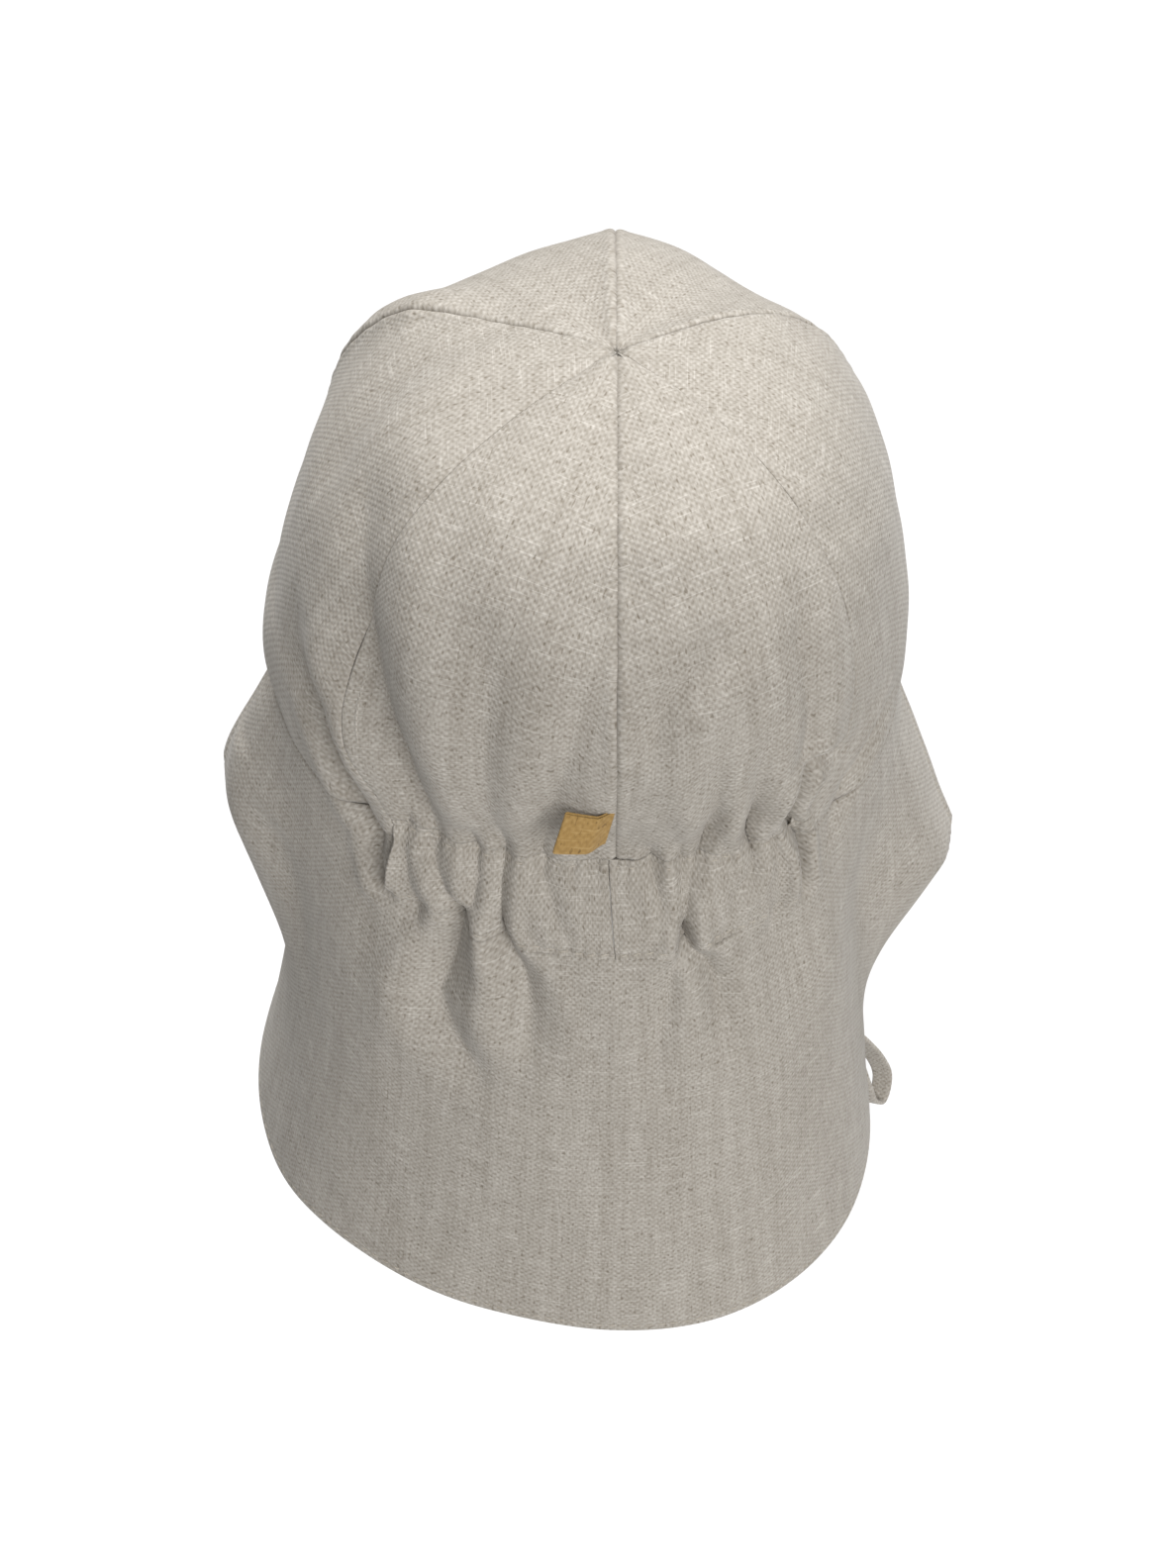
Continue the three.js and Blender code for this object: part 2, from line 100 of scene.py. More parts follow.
def bell(x):
    """1 at 0 and fading to both sides, e to the power of minus x squared."""
    return np.exp(-(x**2))


def unit(vectors):
    """Each vector divided by its own length."""
    return vectors / np.maximum(np.linalg.norm(vectors, axis=-1, keepdims=True), 1e-12)


def length_along(points, axis=0):
    """The length along lines of points, from their start to each point: the sum of the steps so far."""
    steps = np.linalg.norm(np.diff(points, axis=axis), axis=-1)
    return np.concatenate([0 * np.take(steps, [0], axis=axis), np.cumsum(steps, axis=axis)], axis=axis)


def on_line(at, stations, line):
    """The points of a line at some stations, on the straight steps between its own points."""
    return np.stack([np.interp(at, stations, line[:, i]) for i in range(3)], axis=-1)


# %% A mesh from arrays
def surface_normals(points):
    """The cross product of the difference round and the difference down, which faces out of the cap."""
    return unit(np.cross(np.gradient(points, axis=1), np.gradient(points, axis=0)))


def add_piece(name, points, faces, flat=None):
    """A mesh of points in millimetres, quads by corner numbers, and the flat cut in millimetres."""
    mesh = bpy.data.meshes.new(name)
    mesh.vertices.add(len(points))
    mesh.vertices.foreach_set("co", (points * MM).astype(np.float32).ravel())
    mesh.loops.add(faces.size)
    mesh.loops.foreach_set("vertex_index", faces.astype(np.int32).ravel())
    mesh.polygons.add(len(faces))
    mesh.polygons.foreach_set("loop_start", np.arange(0, faces.size, 4, dtype=np.int32))
    mesh.update(calc_edges=True)
    mesh.validate()
    mesh.polygons.foreach_set("use_smooth", np.ones(len(mesh.polygons), bool))
    if flat is not None:
        corners = np.empty(len(mesh.loops), np.int32)
        mesh.loops.foreach_get("vertex_index", corners)
        layer = mesh.uv_layers.new(name="cut")
        layer.data.foreach_set("uv", (flat[corners] * MM).astype(np.float32).ravel())
    piece = bpy.data.objects.new(name, mesh)
    bpy.context.collection.objects.link(piece)
    return piece


# %% A wall of cloth
EDGE_SHARE = 0.25


def cloth_wall(name, middle, flat, wall, roll):
    """Outer and inner skins half a wall from the middle surface, thinner by a quarter circle over the
    last roll millimetres before each edge, joined by a strip round all four edges."""
    normals = surface_normals(middle)
    rows, columns = middle.shape[:2]
    from_left, from_top = length_along(middle, 1), length_along(middle, 0)
    to_side = np.minimum(from_left, from_left[:, -1:] - from_left)
    to_edge = np.minimum(to_side, np.minimum(from_top, from_top[-1:] - from_top))
    near = np.clip(1.0 - to_edge / roll, 0.0, 1.0)
    half = wall / 2 * (EDGE_SHARE + (1 - EDGE_SHARE) * np.sqrt(1.0 - near**2))
    outer = middle + normals * half[..., None]
    inner = middle - normals * half[..., None]
    points = np.concatenate([outer.reshape(-1, 3), inner.reshape(-1, 3)])
    grid = np.arange(rows * columns).reshape(rows, columns)
    a, b, c, d = grid[:-1, :-1].ravel(), grid[1:, :-1].ravel(), grid[1:, 1:].ravel(), grid[:-1, 1:].ravel()
    skin = np.stack([a, d, c, b], axis=1)
    lining = np.stack([a, b, c, d], axis=1) + rows * columns
    ring = np.concatenate([grid[0, :-1], grid[:-1, -1], grid[-1, :0:-1], grid[:0:-1, 0]])
    after = np.roll(ring, -1)
    edge = np.stack([ring, ring + rows * columns, after + rows * columns, after], axis=1)
    return add_piece(name, points, np.concatenate([skin, lining, edge]), np.tile(flat.reshape(-1, 2), (2, 1)))


# %% [markdown]
# The cap's own shape comes from the same few sizes and tables as its solids. A table's columns are read
# as smooth curves: each span is a cubic whose slope at a row is the mean of the two straight slopes
# beside it. That follows the sketch closely and can't swing out between rows as one long curve would.

# %% Sizes and sections of the crown
HALF_WIDTH, HALF_LENGTH = 79.7, 86.7
RIM_SQUARENESS = 2.1
CROWN_HEIGHT = 112.0
CLOTH_WALL = 1.4
SEAM_GAP = 0.3
# the rise is a share of the height, the reaches are shares of the rim's radius, the seams are in degrees
CROWN_COLUMNS = ("rise", "back", "side", "front", "back_seam", "front_seam")
CROWN_ROWS = np.array([
    (0.00, 0.800, 1.000, 1.00, 41, 118),
    (0.10, 0.790, 1.005, 1.01, 44, 119),
    (0.26, 0.840, 0.990, 1.00, 50, 120),
    (0.46, 0.865, 0.935, 0.95, 53, 120),
    (0.68, 0.790, 0.835, 0.85, 53, 120),
    (0.87, 0.600, 0.630, 0.64, 52, 120),
    (0.96, 0.360, 0.375, 0.39, 52, 120),
    (1.00, 0.000, 0.000, 0.00, 52, 120),
])
rise_steps = np.diff(CROWN_ROWS[:, 0]) * CROWN_HEIGHT
run_steps = np.diff(CROWN_ROWS[:, 2]) * HALF_WIDTH
CROWN_UP = np.concatenate([[0.0], np.cumsum(np.hypot(rise_steps, run_steps))])
CROWN_CLOTH = CROWN_UP[-1]


def smooth(at, stations, values, crease=0.0):
    """A cubic through each pair of rows, with the mean of the neighbouring slopes at every row, mixed by
    the crease's share with the straight line between the rows."""
    secants = [(b - a) / (t - s) for a, b, s, t in zip(values, values[1:], stations, stations[1:])]
    slopes = [secants[0], *[(p + q) / 2 for p, q in zip(secants, secants[1:])], secants[-1]]
    result = values[0] + 0.0 * at
    for i, (low, high) in enumerate(zip(stations, stations[1:])):
        width = high - low
        t = np.clip((at - low) / width, 0.0, 1.0)
        soft = ((1 + 2 * t) * (1 - t) ** 2 * values[i] + t**2 * (3 - 2 * t) * values[i + 1]
                + width * t * (1 - t) ** 2 * slopes[i] - width * t**2 * (1 - t) * slopes[i + 1])
        line = values[i] * (1 - t) + values[i + 1] * t
        result = np.where(at >= low, soft * (1 - crease) + line * crease, result)
    return result


def crown_column(name, up):
    """A column of the crown's table at a length of cloth above the rim."""
    return smooth(np.asarray(up, float), CROWN_UP, CROWN_ROWS[:, CROWN_COLUMNS.index(name)])


def up_at_height(height):
    """The length of cloth above the rim where the crown reaches a height."""
    lengths = np.linspace(0.0, CROWN_CLOTH, 4000)
    return float(np.interp(height, crown_column("rise", lengths) * CROWN_HEIGHT, lengths))


print("cloth from rim to top", round(float(CROWN_CLOTH), 1), "mm")

# %% The smooth crown
def rim_radius(turn):
    """The oval of the rim, a little squarer than an ellipse, at a turn in degrees from the nape."""
    across = np.abs(np.sin(np.radians(turn))) / HALF_WIDTH
    along = np.abs(np.cos(np.radians(turn))) / HALF_LENGTH
    return (across**RIM_SQUARENESS + along**RIM_SQUARENESS) ** (-1 / RIM_SQUARENESS)


def at_turn(turn, radius, height):
    """The point at a turn, a distance from the axis and a height."""
    turn, radius, height = np.broadcast_arrays(turn, radius, height)
    angle = np.radians(turn)
    return np.stack([radius * np.sin(angle), radius * np.cos(angle), height], axis=-1)


def crown_radius(turn, up):
    """The rim's radius times the reach of the back, side and front columns, mixed by squared cosines."""
    facing = np.cos(np.radians(turn))
    back, front = np.maximum(0, facing) ** 2, np.maximum(0, -facing) ** 2
    reach = (crown_column("back", up) * back + crown_column("front", up) * front
             + crown_column("side", up) * (1 - back - front))
    return rim_radius(turn) * reach


def crown_base(turn, up):
    """The crown's surface without seams, gathers and folds."""
    return at_turn(turn, crown_radius(turn, up), crown_column("rise", up) * CROWN_HEIGHT)


def crown_outward(turn, up):
    """The way out of the smooth crown, from the cross product of a small step round and one up."""
    low = np.clip(np.asarray(up, float) - 0.3, 0.0, CROWN_CLOTH - 0.6)
    around = crown_base(turn + 1, up) - crown_base(turn - 1, up)
    upward = crown_base(turn, low + 0.6) - crown_base(turn, low)
    return unit(np.cross(upward, around))


SEAM_SLIP, SLIP_REACH, CROWN_LEAN = 7.5, 98.0, 3.5


def slipped(points):
    """The centre seams have slipped to the wearer's right, and the top leans that way too."""
    away = np.minimum(1.0, np.abs(points[..., 0]) / SLIP_REACH)
    middle = (1 + np.cos(np.pi * away)) / 2
    rise = np.clip(points[..., 2] / CROWN_HEIGHT, 0.0, 1.0)
    moved = points.copy()
    moved[..., 0] -= SEAM_SLIP * middle + CROWN_LEAN * rise * (1 - middle)
    return moved


def off_crown(turn, up, offset):
    """The point that stands off the smooth crown by an offset, slipped with the rest of the cap."""
    return slipped(crown_base(turn, up) + crown_outward(turn, up) * np.asarray(offset)[..., None])


def seam_turn(seam, sign, up):
    """The turn of a seam all the way up: a column of the crown's table by its name, or one same turn."""
    return sign * (crown_column(seam, up) if isinstance(seam, str) else seam + 0 * up)


# %% [markdown]
# The gathers are the cap's most visible feature. An elastic in the casing at the nape draws the cloth
# together, so each pleat starts sharp at the casing and fades up into the crown and down into the flap.
# One regular wave would look machine-made, and a cloth simulation would put them elsewhere. So each pleat
# is drawn as a line over the cap, with its depth and width at each of its points.

# %% Pleats at the nape
CASING_TOP, CASING_DROP, CASING_PUFF = 6.0, 19.0, 2.2
CASING_HEIGHT = CASING_TOP + CASING_DROP
CASING_TURN = 41.0
# how far the casing's foot stands off the rim at the nape, and the share of it that is left at its end
NAPE_SPREAD, END_SPREAD = 12.0, 0.42
casing_top = up_at_height(CASING_TOP)
PLEAT_RADIUS, PLEAT_POWER, RIDGE_SHARE, RIDGE_PLACE = 76.0, 1.6, 0.3, 2.2
# a pleat's points: turn in degrees, cloth above the casing's top in mm, depth and width in mm
PLEATS = [
    # on the wearer's left
    [(80, 92, 0, 9), (64, 80, 2.4, 10), (56, 68, 4, 10), (50.5, 57, 5.2, 9), (45, 42, 6, 8),
     (40, 28, 5.6, 6.5), (36.5, 11, 4, 4.6), (34, -1, 1.4, 3), (32, -8, 0, 2.2)],
    [(27, 84, 0, 7), (23, 65, 2, 7), (22.5, 46, 2, 6), (23, 18, 1.4, 5), (24, 2, 0, 4)],
    [(6, 72, 0, 6), (7.5, 59, 2.2, 5.5), (9.5, 41, 3.2, 5), (12.6, 20, 3, 4), (14.5, 3, 2.3, 2.6),
     (14, -4, 1.4, 2.2), (12, -9, 0.9, 2.2), (9.5, -17, 0.5, 2.2), (8, -22, 0, 2)],
    [(70, 32, 0, 6), (61, 27, 2.7, 5), (55.5, 11, 5.4, 3.8), (50, -4, 3.8, 3.3), (46.2, -10, 3.5, 2.6),
     (45.4, -17, 2.7, 2.4), (43.2, -24, 3, 2.2), (39, -27, 0, 2)],
    [(40, 8, 0, 2.5), (39.6, 0, 2.2, 2), (38.6, -7, 1, 2.2), (37.4, -16, 1.3, 2.4),
     (36.3, -22, 1.7, 2.6), (34.5, -32, 1.2, 3.6), (33, -46, 0, 4)],
    [(35.2, 1, 0, 2), (35.4, -2, 1.4, 2), (33, -8.5, 1.8, 2.1), (30.7, -15, 2.2, 2),
     (28.6, -19, 3.6, 2), (27.9, -26, 4.8, 2.8), (29, -40, 4.5, 4), (30.3, -52, 3.9, 4.5),
     (27.3, -63, 3.3, 5), (22.5, -72, 2.4, 5.5), (19, -88, 0, 6)],
    [(28, 12, 0, 2.6), (27, 2, 1.9, 2.2), (26.2, -3, 1.7, 2.2), (24.8, -8, 1.7, 2.1),
     (25.4, -16, 1.7, 2.2), (27.2, -23, 1.4, 2), (28, -27, 0, 2)],
    [(22, 14, 0, 3), (21.4, 3, 2.2, 2.2), (21.2, -7, 2.2, 1.8), (20.7, -14, 2.4, 1.8),
     (20.3, -20, 3.8, 1.8), (19.6, -25, 4.8, 2.2), (18.4, -29, 3.9, 2.8), (15.8, -36, 3.4, 3.4),
     (14.3, -47, 2.7, 4), (14, -60, 2, 4.5), (14, -76, 0, 5)],
    [(4.5, 2, 0, 1.6), (4.2, -2, 0.8, 1.6), (4, -6, 0, 2)],
    # on the wearer's right
    [(-7, 8, 0, 2.4), (-7.4, 1, 2, 2), (-7.6, -4, 1.6, 2), (-8.8, -9, 1.3, 1.9), (-9.4, -13, 0.6, 1.9),
     (-9.6, -18, 0, 2.2)],
    [(-20, 57, 0, 5), (-19.4, 36, 2.5, 4.5), (-20.5, 19, 3.9, 3.6), (-17.8, 2, 3, 2.4),
     (-15.8, -4, 2.1, 2), (-14.6, -10, 1.9, 1.8), (-13.8, -17, 2.4, 1.8), (-13.4, -22, 5.3, 1.9),
     (-14.5, -27, 4.2, 2.2), (-17, -32, 3.4, 3), (-19.1, -40, 3.3, 3.6), (-19.4, -51, 2.4, 4.2),
     (-19.4, -68, 0, 5)],
    [(-13.7, 13, 0, 2.2), (-13.6, -2, 2.4, 1.6), (-12.3, -10, 1.2, 1.7), (-12.6, -18, 1.6, 1.8),
     (-12.4, -24, 3, 2), (-11, -31, 1.8, 3), (-9.3, -46, 1.8, 3.6), (-7.3, -58, 1.2, 4),
     (-6, -74, 0, 5)],
    [(-29.5, 56, 0, 5), (-28.9, 45, 1.8, 4.5), (-27.8, 31, 3, 4), (-28.8, 12, 4.2, 3),
     (-28.5, 2, 3.6, 2), (-29.6, -4, 2.1, 2), (-28.5, -8, 1.4, 2), (-24.6, -12, 1.2, 2.2),
     (-22.6, -17, 0.9, 2.2), (-21, -24, 0, 2)],
    [(-52, 17, 0, 3), (-46, 22, 3, 3), (-41.5, 24, 5.1, 2.8), (-39.2, 15, 5.4, 2.4),
     (-37.6, 5, 4.8, 1.9), (-39.2, -2, 3.6, 1.8), (-40.8, -7, 5.5, 1.8), (-40.6, -13, 6.5, 1.8),
     (-40.4, -19, 5.5, 1.8), (-40.4, -27, 0, 2)],
    [(-21.5, 82, 0, 6), (-16, 72, 2.1, 5), (-10, 64, 2.8, 4.5), (-7.4, 58, 2.4, 4.5), (-6.3, 42, 0, 5)],
    [(-42.5, 84, 0, 6), (-38.5, 67, 2.1, 5.5), (-39.3, 44, 2.8, 5), (-38.2, 30, 2.4, 4),
     (-38, 18, 0, 3)],
    [(-76, 10, 0, 5), (-64, 9, 3, 4.5), (-55, 1, 2.9, 4), (-50, -9, 1.4, 3.3), (-47, -20, 0, 3)],
    [(-34.5, 5, 0, 2), (-34, -2, 1.2, 1.8), (-34.2, -16, 0.7, 2.2), (-33.5, -25, 1.5, 2.2),
     (-31, -34, 0, 3)],
]


# %% The depth of the pleats
def pleats(turn, level):
    """The pleats at a turn and a length of cloth above the casing's top: at the nearest point of each
    line a valley of that depth and width, with a soft ridge of a third of the depth on both sides."""
    turn, level = np.broadcast_arrays(np.asarray(turn, float), np.asarray(level, float))
    across = np.radians(turn) * PLEAT_RADIUS
    total = np.zeros(across.shape)
    for points in PLEATS:
        points = np.array(points, float)
        points[:, 0] = np.radians(points[:, 0]) * PLEAT_RADIUS
        nearest = np.full(across.shape, 1e3)
        depth, width = 0 * across, 0 * across
        for start, end in zip(points, points[1:]):
            way = end[:2] - start[:2]
            k = np.clip(((across - start[0]) * way[0] + (level - start[1]) * way[1]) / (way @ way), 0, 1)
            away = np.hypot(across - start[0] - k * way[0], level - start[1] - k * way[1])
            closer = away < nearest
            nearest = np.where(closer, away, nearest)
            depth = np.where(closer, start[2] + k * (end[2] - start[2]), depth)
            width = np.where(closer, start[3] + k * (end[3] - start[3]), width)
        apart = nearest / width.clip(1.0)
        total -= depth * (np.exp(-(apart**PLEAT_POWER)) - RIDGE_SHARE * bell(apart - RIDGE_PLACE))
    return total


# %% A small crumple
# the length and the depth of the waves in mm
GORE_CRUMPLE, FLAP_CRUMPLE, CASING_CRUMPLE = (26.0, 0.16), (34.0, 0.22), (9.0, 0.16)


def ripples(across, down, seed, wave, depth):
    """A small crumple of the cloth: a sum of nine sine waves whose ways and lengths come from a seed."""
    chance = np.random.default_rng(seed)
    total = 0.0 * (across + down)
    for _ in range(9):
        way, phase = chance.uniform(0, 2 * np.pi, 2)
        length = wave * chance.uniform(0.6, 1.8)
        total += np.sin((across * np.cos(way) + down * np.sin(way)) * 2 * np.pi / length + phase)
    return depth * total / 3.0


# %% [markdown]
# The neck flap is one wide piece: gathered under the casing at the nape, then standing out in a wing at
# each side where it leaves the rim, drawn in below that, and flaring to a curved hem. Cloth simulation
# would fold it differently each time. The photo fixes its outline, so it is a table of sections round the
# cap: how far the cloth stands off the rim's oval at the wing, the waist and the hem, and at what depth.
# Under the casing the cloth hangs from the casing's foot. Beyond the casing's end it hangs from the rim,
# so just before that end its upper edge climbs behind the casing, from the one line to the other.

# %% Sections of the neck flap
FLAP_LENGTH, FLAP_FLARE, FLAP_TURN, FLAP_FULLNESS = 164.0, 20.0, 92.0, 1.08
FLAP_HANG, FLAP_HANG_SPREAD, FLAP_CORNER, FLAP_GAP = 11.0, 1.5, 28.0, 0.05
# the left wing's bulge under the rim: its size in mm, and its place and width as shares across
LEFT_SHOULDER, SHOULDER_AT, SHOULDER_WIDTH = 4.5, 0.94, 0.10
# the climb behind the casing: its share of the casing, its clearance in mm and the share that fades out
CLIMB_SHARE, BEHIND_CASING, CASING_FADE = 0.2, 2.0, 0.26
HEM_STITCH, FURROW, FURROW_WIDTH = 2.6, 0.22, 0.55
# at is the share across, from the right front edge at -1 to the left one at 1; wing, waist and hem are
# shares of the flare, and wing_at, waist_at and drop are shares of the length
FLAP_COLUMNS = ("at", "wing", "wing_at", "waist", "waist_at", "hem", "drop", "crease")
FLAP_ROWS = np.array([
    (-1.00, 1.05, 0.43, 0.28, 0.72, -0.30, 0.95, 0.9),
    (-0.88, 0.85, 0.42, -0.05, 0.74, -0.05, 0.98, 0.8),
    (-0.70, -0.15, 0.32, 0.10, 0.70, 0.42, 1.01, 0.2),
    (-0.50, 0.10, 0.32, 0.35, 0.62, 0.80, 1.01, 0.0),
    (-0.20, 0.02, 0.32, 0.42, 0.62, 0.95, 1.00, 0.0),
    (0.00, 0.02, 0.32, 0.42, 0.62, 0.95, 0.99, 0.0),
    (0.20, 0.02, 0.32, 0.42, 0.62, 0.92, 0.98, 0.0),
    (0.50, 0.10, 0.30, 0.42, 0.62, 0.98, 0.98, 0.0),
    (0.70, 0.10, 0.28, 0.30, 0.63, 0.95, 1.02, 0.2),
    (0.88, 0.72, 0.26, 0.24, 0.64, 0.78, 0.98, 0.2),
    (1.00, 0.85, 0.26, 0.15, 0.66, 0.50, 0.95, 0.3),
])
FLAP_SIDE = np.radians(FLAP_TURN) * HALF_WIDTH


def flap_column(name, at):
    """A column of the flap's table at a share across."""
    return smooth(at, FLAP_ROWS[:, 0], FLAP_ROWS[:, FLAP_COLUMNS.index(name)])


# %% Where the flap starts and ends
def nape_spread(share):
    """How far the casing's lower edge stands off the rim, at a share of the way to the casing's end."""
    return NAPE_SPREAD * (END_SPREAD + (1 - END_SPREAD) * np.cos(np.pi / 2 * np.minimum(share, 1.0)) ** 2)


def casing_share(at):
    """The share of the way to the casing's end, where the share across the flap is at."""
    return np.abs(at) * FLAP_TURN / CASING_TURN


def flap_top(at):
    """How far down the flap starts: at the casing's foot, and from behind the casing's end at the rim."""
    return CASING_DROP * (1 - eased((casing_share(at) - 1 + CLIMB_SHARE) / CLIMB_SHARE))


def flap_from_hem(at, down):
    """The distance to the cut edge: a rounded rectangle in the flat cut, its front edge at the shares 1."""
    side = (1 - np.abs(at)) * FLAP_SIDE
    below = FLAP_LENGTH * flap_column("drop", at) - down
    corner = FLAP_CORNER - np.hypot(FLAP_CORNER - side, FLAP_CORNER - below)
    return np.where((side < FLAP_CORNER) & (below < FLAP_CORNER), corner, np.minimum(side, below))


def flap_depth(at):
    """How far down the flap reaches, with its front lower corners rounded off by a quarter circle."""
    inside = np.maximum(0.0, FLAP_CORNER - (1 - np.abs(at)) * FLAP_SIDE)
    corner = FLAP_CORNER - np.sqrt(np.maximum(0.0, FLAP_CORNER**2 - inside**2))
    return FLAP_LENGTH * flap_column("drop", at) - corner


# %% Folds of the neck flap
FOLD_START = 0.15
FLAP_FOLDS = np.array([
    # share across at the top and at the end, low and high share down, depth in mm, width as a share
    (0.24, 0.20, 0.10, 0.60, 1.6, 0.040),
    (0.40, 0.44, 0.10, 0.66, 1.6, 0.060),
    (-0.36, -0.42, 0.10, 0.60, -1.2, 0.045),
    (0.02, -0.04, 0.12, 0.55, 1.0, 0.050),
    (0.80, 0.62, 0.18, 0.60, -1.8, 0.050),
    (0.93, 0.84, 0.12, 0.34, 1.4, 0.040),
])


def flap_folds(at, down):
    """Bell curves across that run down the flap, strongest near their top, on the fading pleats."""
    total = pleats(at * FLAP_TURN, -CASING_TOP - down)
    for top_at, end_at, low, high, depth, width in FLAP_FOLDS:
        along = np.clip((down / FLAP_LENGTH - low) / (high - low), 0.0, 1.0)
        away = (at - (top_at + (end_at - top_at) * along)) / width
        total = total + depth * bell(away) * np.cos(np.pi / 2 * along) * eased(along / FOLD_START)
    return total


# %% The flap's surface
def flap_point(at, down, out=0.0):
    """The flap's middle surface: its sections, folds, crumple and the furrow of the hem's stitching."""
    at, down = np.broadcast_arrays(np.asarray(at, float), np.asarray(down, float))
    rim, oval, share = crown_radius(at * FLAP_TURN, 0.0), rim_radius(at * FLAP_TURN), casing_share(at)
    depths = [FLAP_LENGTH * flap_column(name, at) for name in ("wing_at", "waist_at", "drop")]
    radii = [oval + FLAP_FLARE * flap_column(name, at) for name in ("wing", "waist", "hem")]
    shoulder = FLAP_HANG_SPREAD + LEFT_SHOULDER * bell((at - SHOULDER_AT) / SHOULDER_WIDTH)
    crease, foot = np.maximum(0.0, flap_column("crease", at)), rim + nape_spread(share)
    from_rim = smooth(down, [0.0, FLAP_HANG, *depths], [rim, rim + shoulder, *radii], crease)
    from_casing = smooth(down, [CASING_DROP, CASING_DROP + FLAP_HANG, *depths],
                         [foot, foot + FLAP_HANG_SPREAD, *radii], crease)
    behind = np.maximum(0.0, 1 - down / CASING_DROP)
    from_casing = from_casing - behind * (nape_spread(share) * CASING_DROP / CASING_HEIGHT + BEHIND_CASING)
    radius = from_rim + (from_casing - from_rim) * (1 - eased((share - 1) / CASING_FADE))
    furrow = -FURROW * bell((flap_from_hem(at, down) - HEM_STITCH) / FURROW_WIDTH)
    crumple = ripples(at * FLAP_SIDE, down, 7, *FLAP_CRUMPLE) * np.clip((down - 5) / 20, 0, 1)
    radius = radius + flap_folds(at, down) + furrow + crumple + out
    return slipped(at_turn(at * FLAP_TURN, radius, -FLAP_GAP - down))


print("flap", round(2 * FLAP_SIDE), "mm round by", round(FLAP_LENGTH), "mm")

# %% [markdown]
# The chin ties come first, because they hang free: two flat linen ties, each stitched inside a front edge
# of the flap. The left one runs under the chin in one sagging loop to the right side, where the two are
# tied in a bow. A curve with a bevel would twist in the bends, so each tie is a flat band carried along
# its path, with its width held to one direction, as a folded tape lies.

# %% Routes of the ties
TIE_WIDTH, TIE_WALL = 6.0, 1.4
LEFT_TIE = [
    (79, -14, -142), (70, -20, -166), (44, -30, -190), (6, -34, -202), (-32, -26, -193), (-52, -12, -177),
    (-63, -4.5, -169),
]
RIGHT_TIE = [(-76.5, -9, -134), (-73, -7, -148), (-72.8, -3, -158)]
KNOT = np.array((-76.0, 0.0, -168.0))
KNOT_SIZE, KNOT_OVERLAP = 11.0, 1.0
RIGHT_LOOP = [
    (-82, -2, -179), (-87.5, -3, -190), (-90.5, -3, -200), (-89.5, 0, -207.5), (-86.5, 3, -205),
    (-84, 4, -196), (-80.5, 3, -183),
]
LEFT_LOOP = [
    (-70, -1, -179), (-62, -2, -190), (-57, -1, -200), (-59, 1, -207), (-64, 3, -203), (-68, 3, -192),
    (-72, 2, -181),
]
FIRST_TAIL = [(-77, -5, -181), (-77, -8, -197), (-74, -9, -212)]
SECOND_TAIL = [(-73, 4, -181), (-72, 6, -195), (-75, 7, -207)]

# %% Flat bands
def tube_faces(tubes, rings, around):
    """Quads between each ring of points and the next, and over both ends a ladder of quads."""
    grid = np.arange(tubes * rings * around).reshape(tubes, rings, around)
    after = np.roll(grid, -1, axis=2)
    sides = np.stack([grid[:, :-1], after[:, :-1], after[:, 1:], grid[:, 1:]], axis=-1)
    step = np.arange(around // 2 - 1)
    ladder = np.stack([step, step + 1, around - step - 2, around - step - 1], axis=1)
    parts = [sides, grid[:, 0][:, ladder[:, ::-1]], grid[:, -1][:, ladder]]
    return np.concatenate([part.reshape(-1, 4) for part in parts])


CUT_END = 0.6


def band(name, path, width_way, width, wall, columns=9):
    """A flat band: its width lies along width_way, less its part along the path, and its cross-section is
    a rounded rectangle, a superellipse of power 5, made smaller at both cut ends and closed over them."""
    ahead = unit(np.gradient(path, axis=0))
    across = unit(width_way - ahead * (ahead * width_way).sum(axis=1, keepdims=True))
    face = np.cross(ahead, across)
    angle = np.linspace(0, 2 * np.pi, 4 * columns, endpoint=False)
    rounded = (np.abs(np.cos(angle)) ** 5 + np.abs(np.sin(angle)) ** 5) ** -0.2
    sideways, outward = np.cos(angle) * rounded * width / 2, np.sin(angle) * rounded * wall / 2
    ends = np.ones((len(path), 1, 1))
    ends[[0, -1]] = CUT_END
    rings = (path[:, None] + across[:, None] * (sideways[:, None] * ends)
             + face[:, None] * (outward[:, None] * ends))
    flat = np.stack(np.broadcast_arrays(sideways[None, :], length_along(path)[:, None]), axis=-1)
    return add_piece(name, rings.reshape(-1, 3), tube_faces(1, len(path), len(angle)), flat.reshape(-1, 2))


def joined(name, pieces):
    """The meshes of several pieces as one piece."""
    points, faces, flats, start = [], [], [], 0
    for part in pieces:
        mesh = part.data
        place = np.empty(len(mesh.vertices) * 3, np.float32)
        mesh.vertices.foreach_get("co", place)
        corners = np.empty(len(mesh.loops), np.int32)
        mesh.loops.foreach_get("vertex_index", corners)
        uv = np.empty(len(mesh.loops) * 2, np.float32)
        mesh.uv_layers["cut"].data.foreach_get("uv", uv)
        flat = np.zeros((len(mesh.vertices), 2), np.float32)
        flat[corners] = uv.reshape(-1, 2)
        points.append(place.reshape(-1, 3) / MM)
        faces.append(corners.reshape(-1, 4) + start)
        flats.append(flat / MM)
        start += len(mesh.vertices)
        bpy.data.objects.remove(part)
        bpy.data.meshes.remove(mesh)
    return add_piece(name, np.concatenate(points), np.concatenate(faces), np.concatenate(flats))


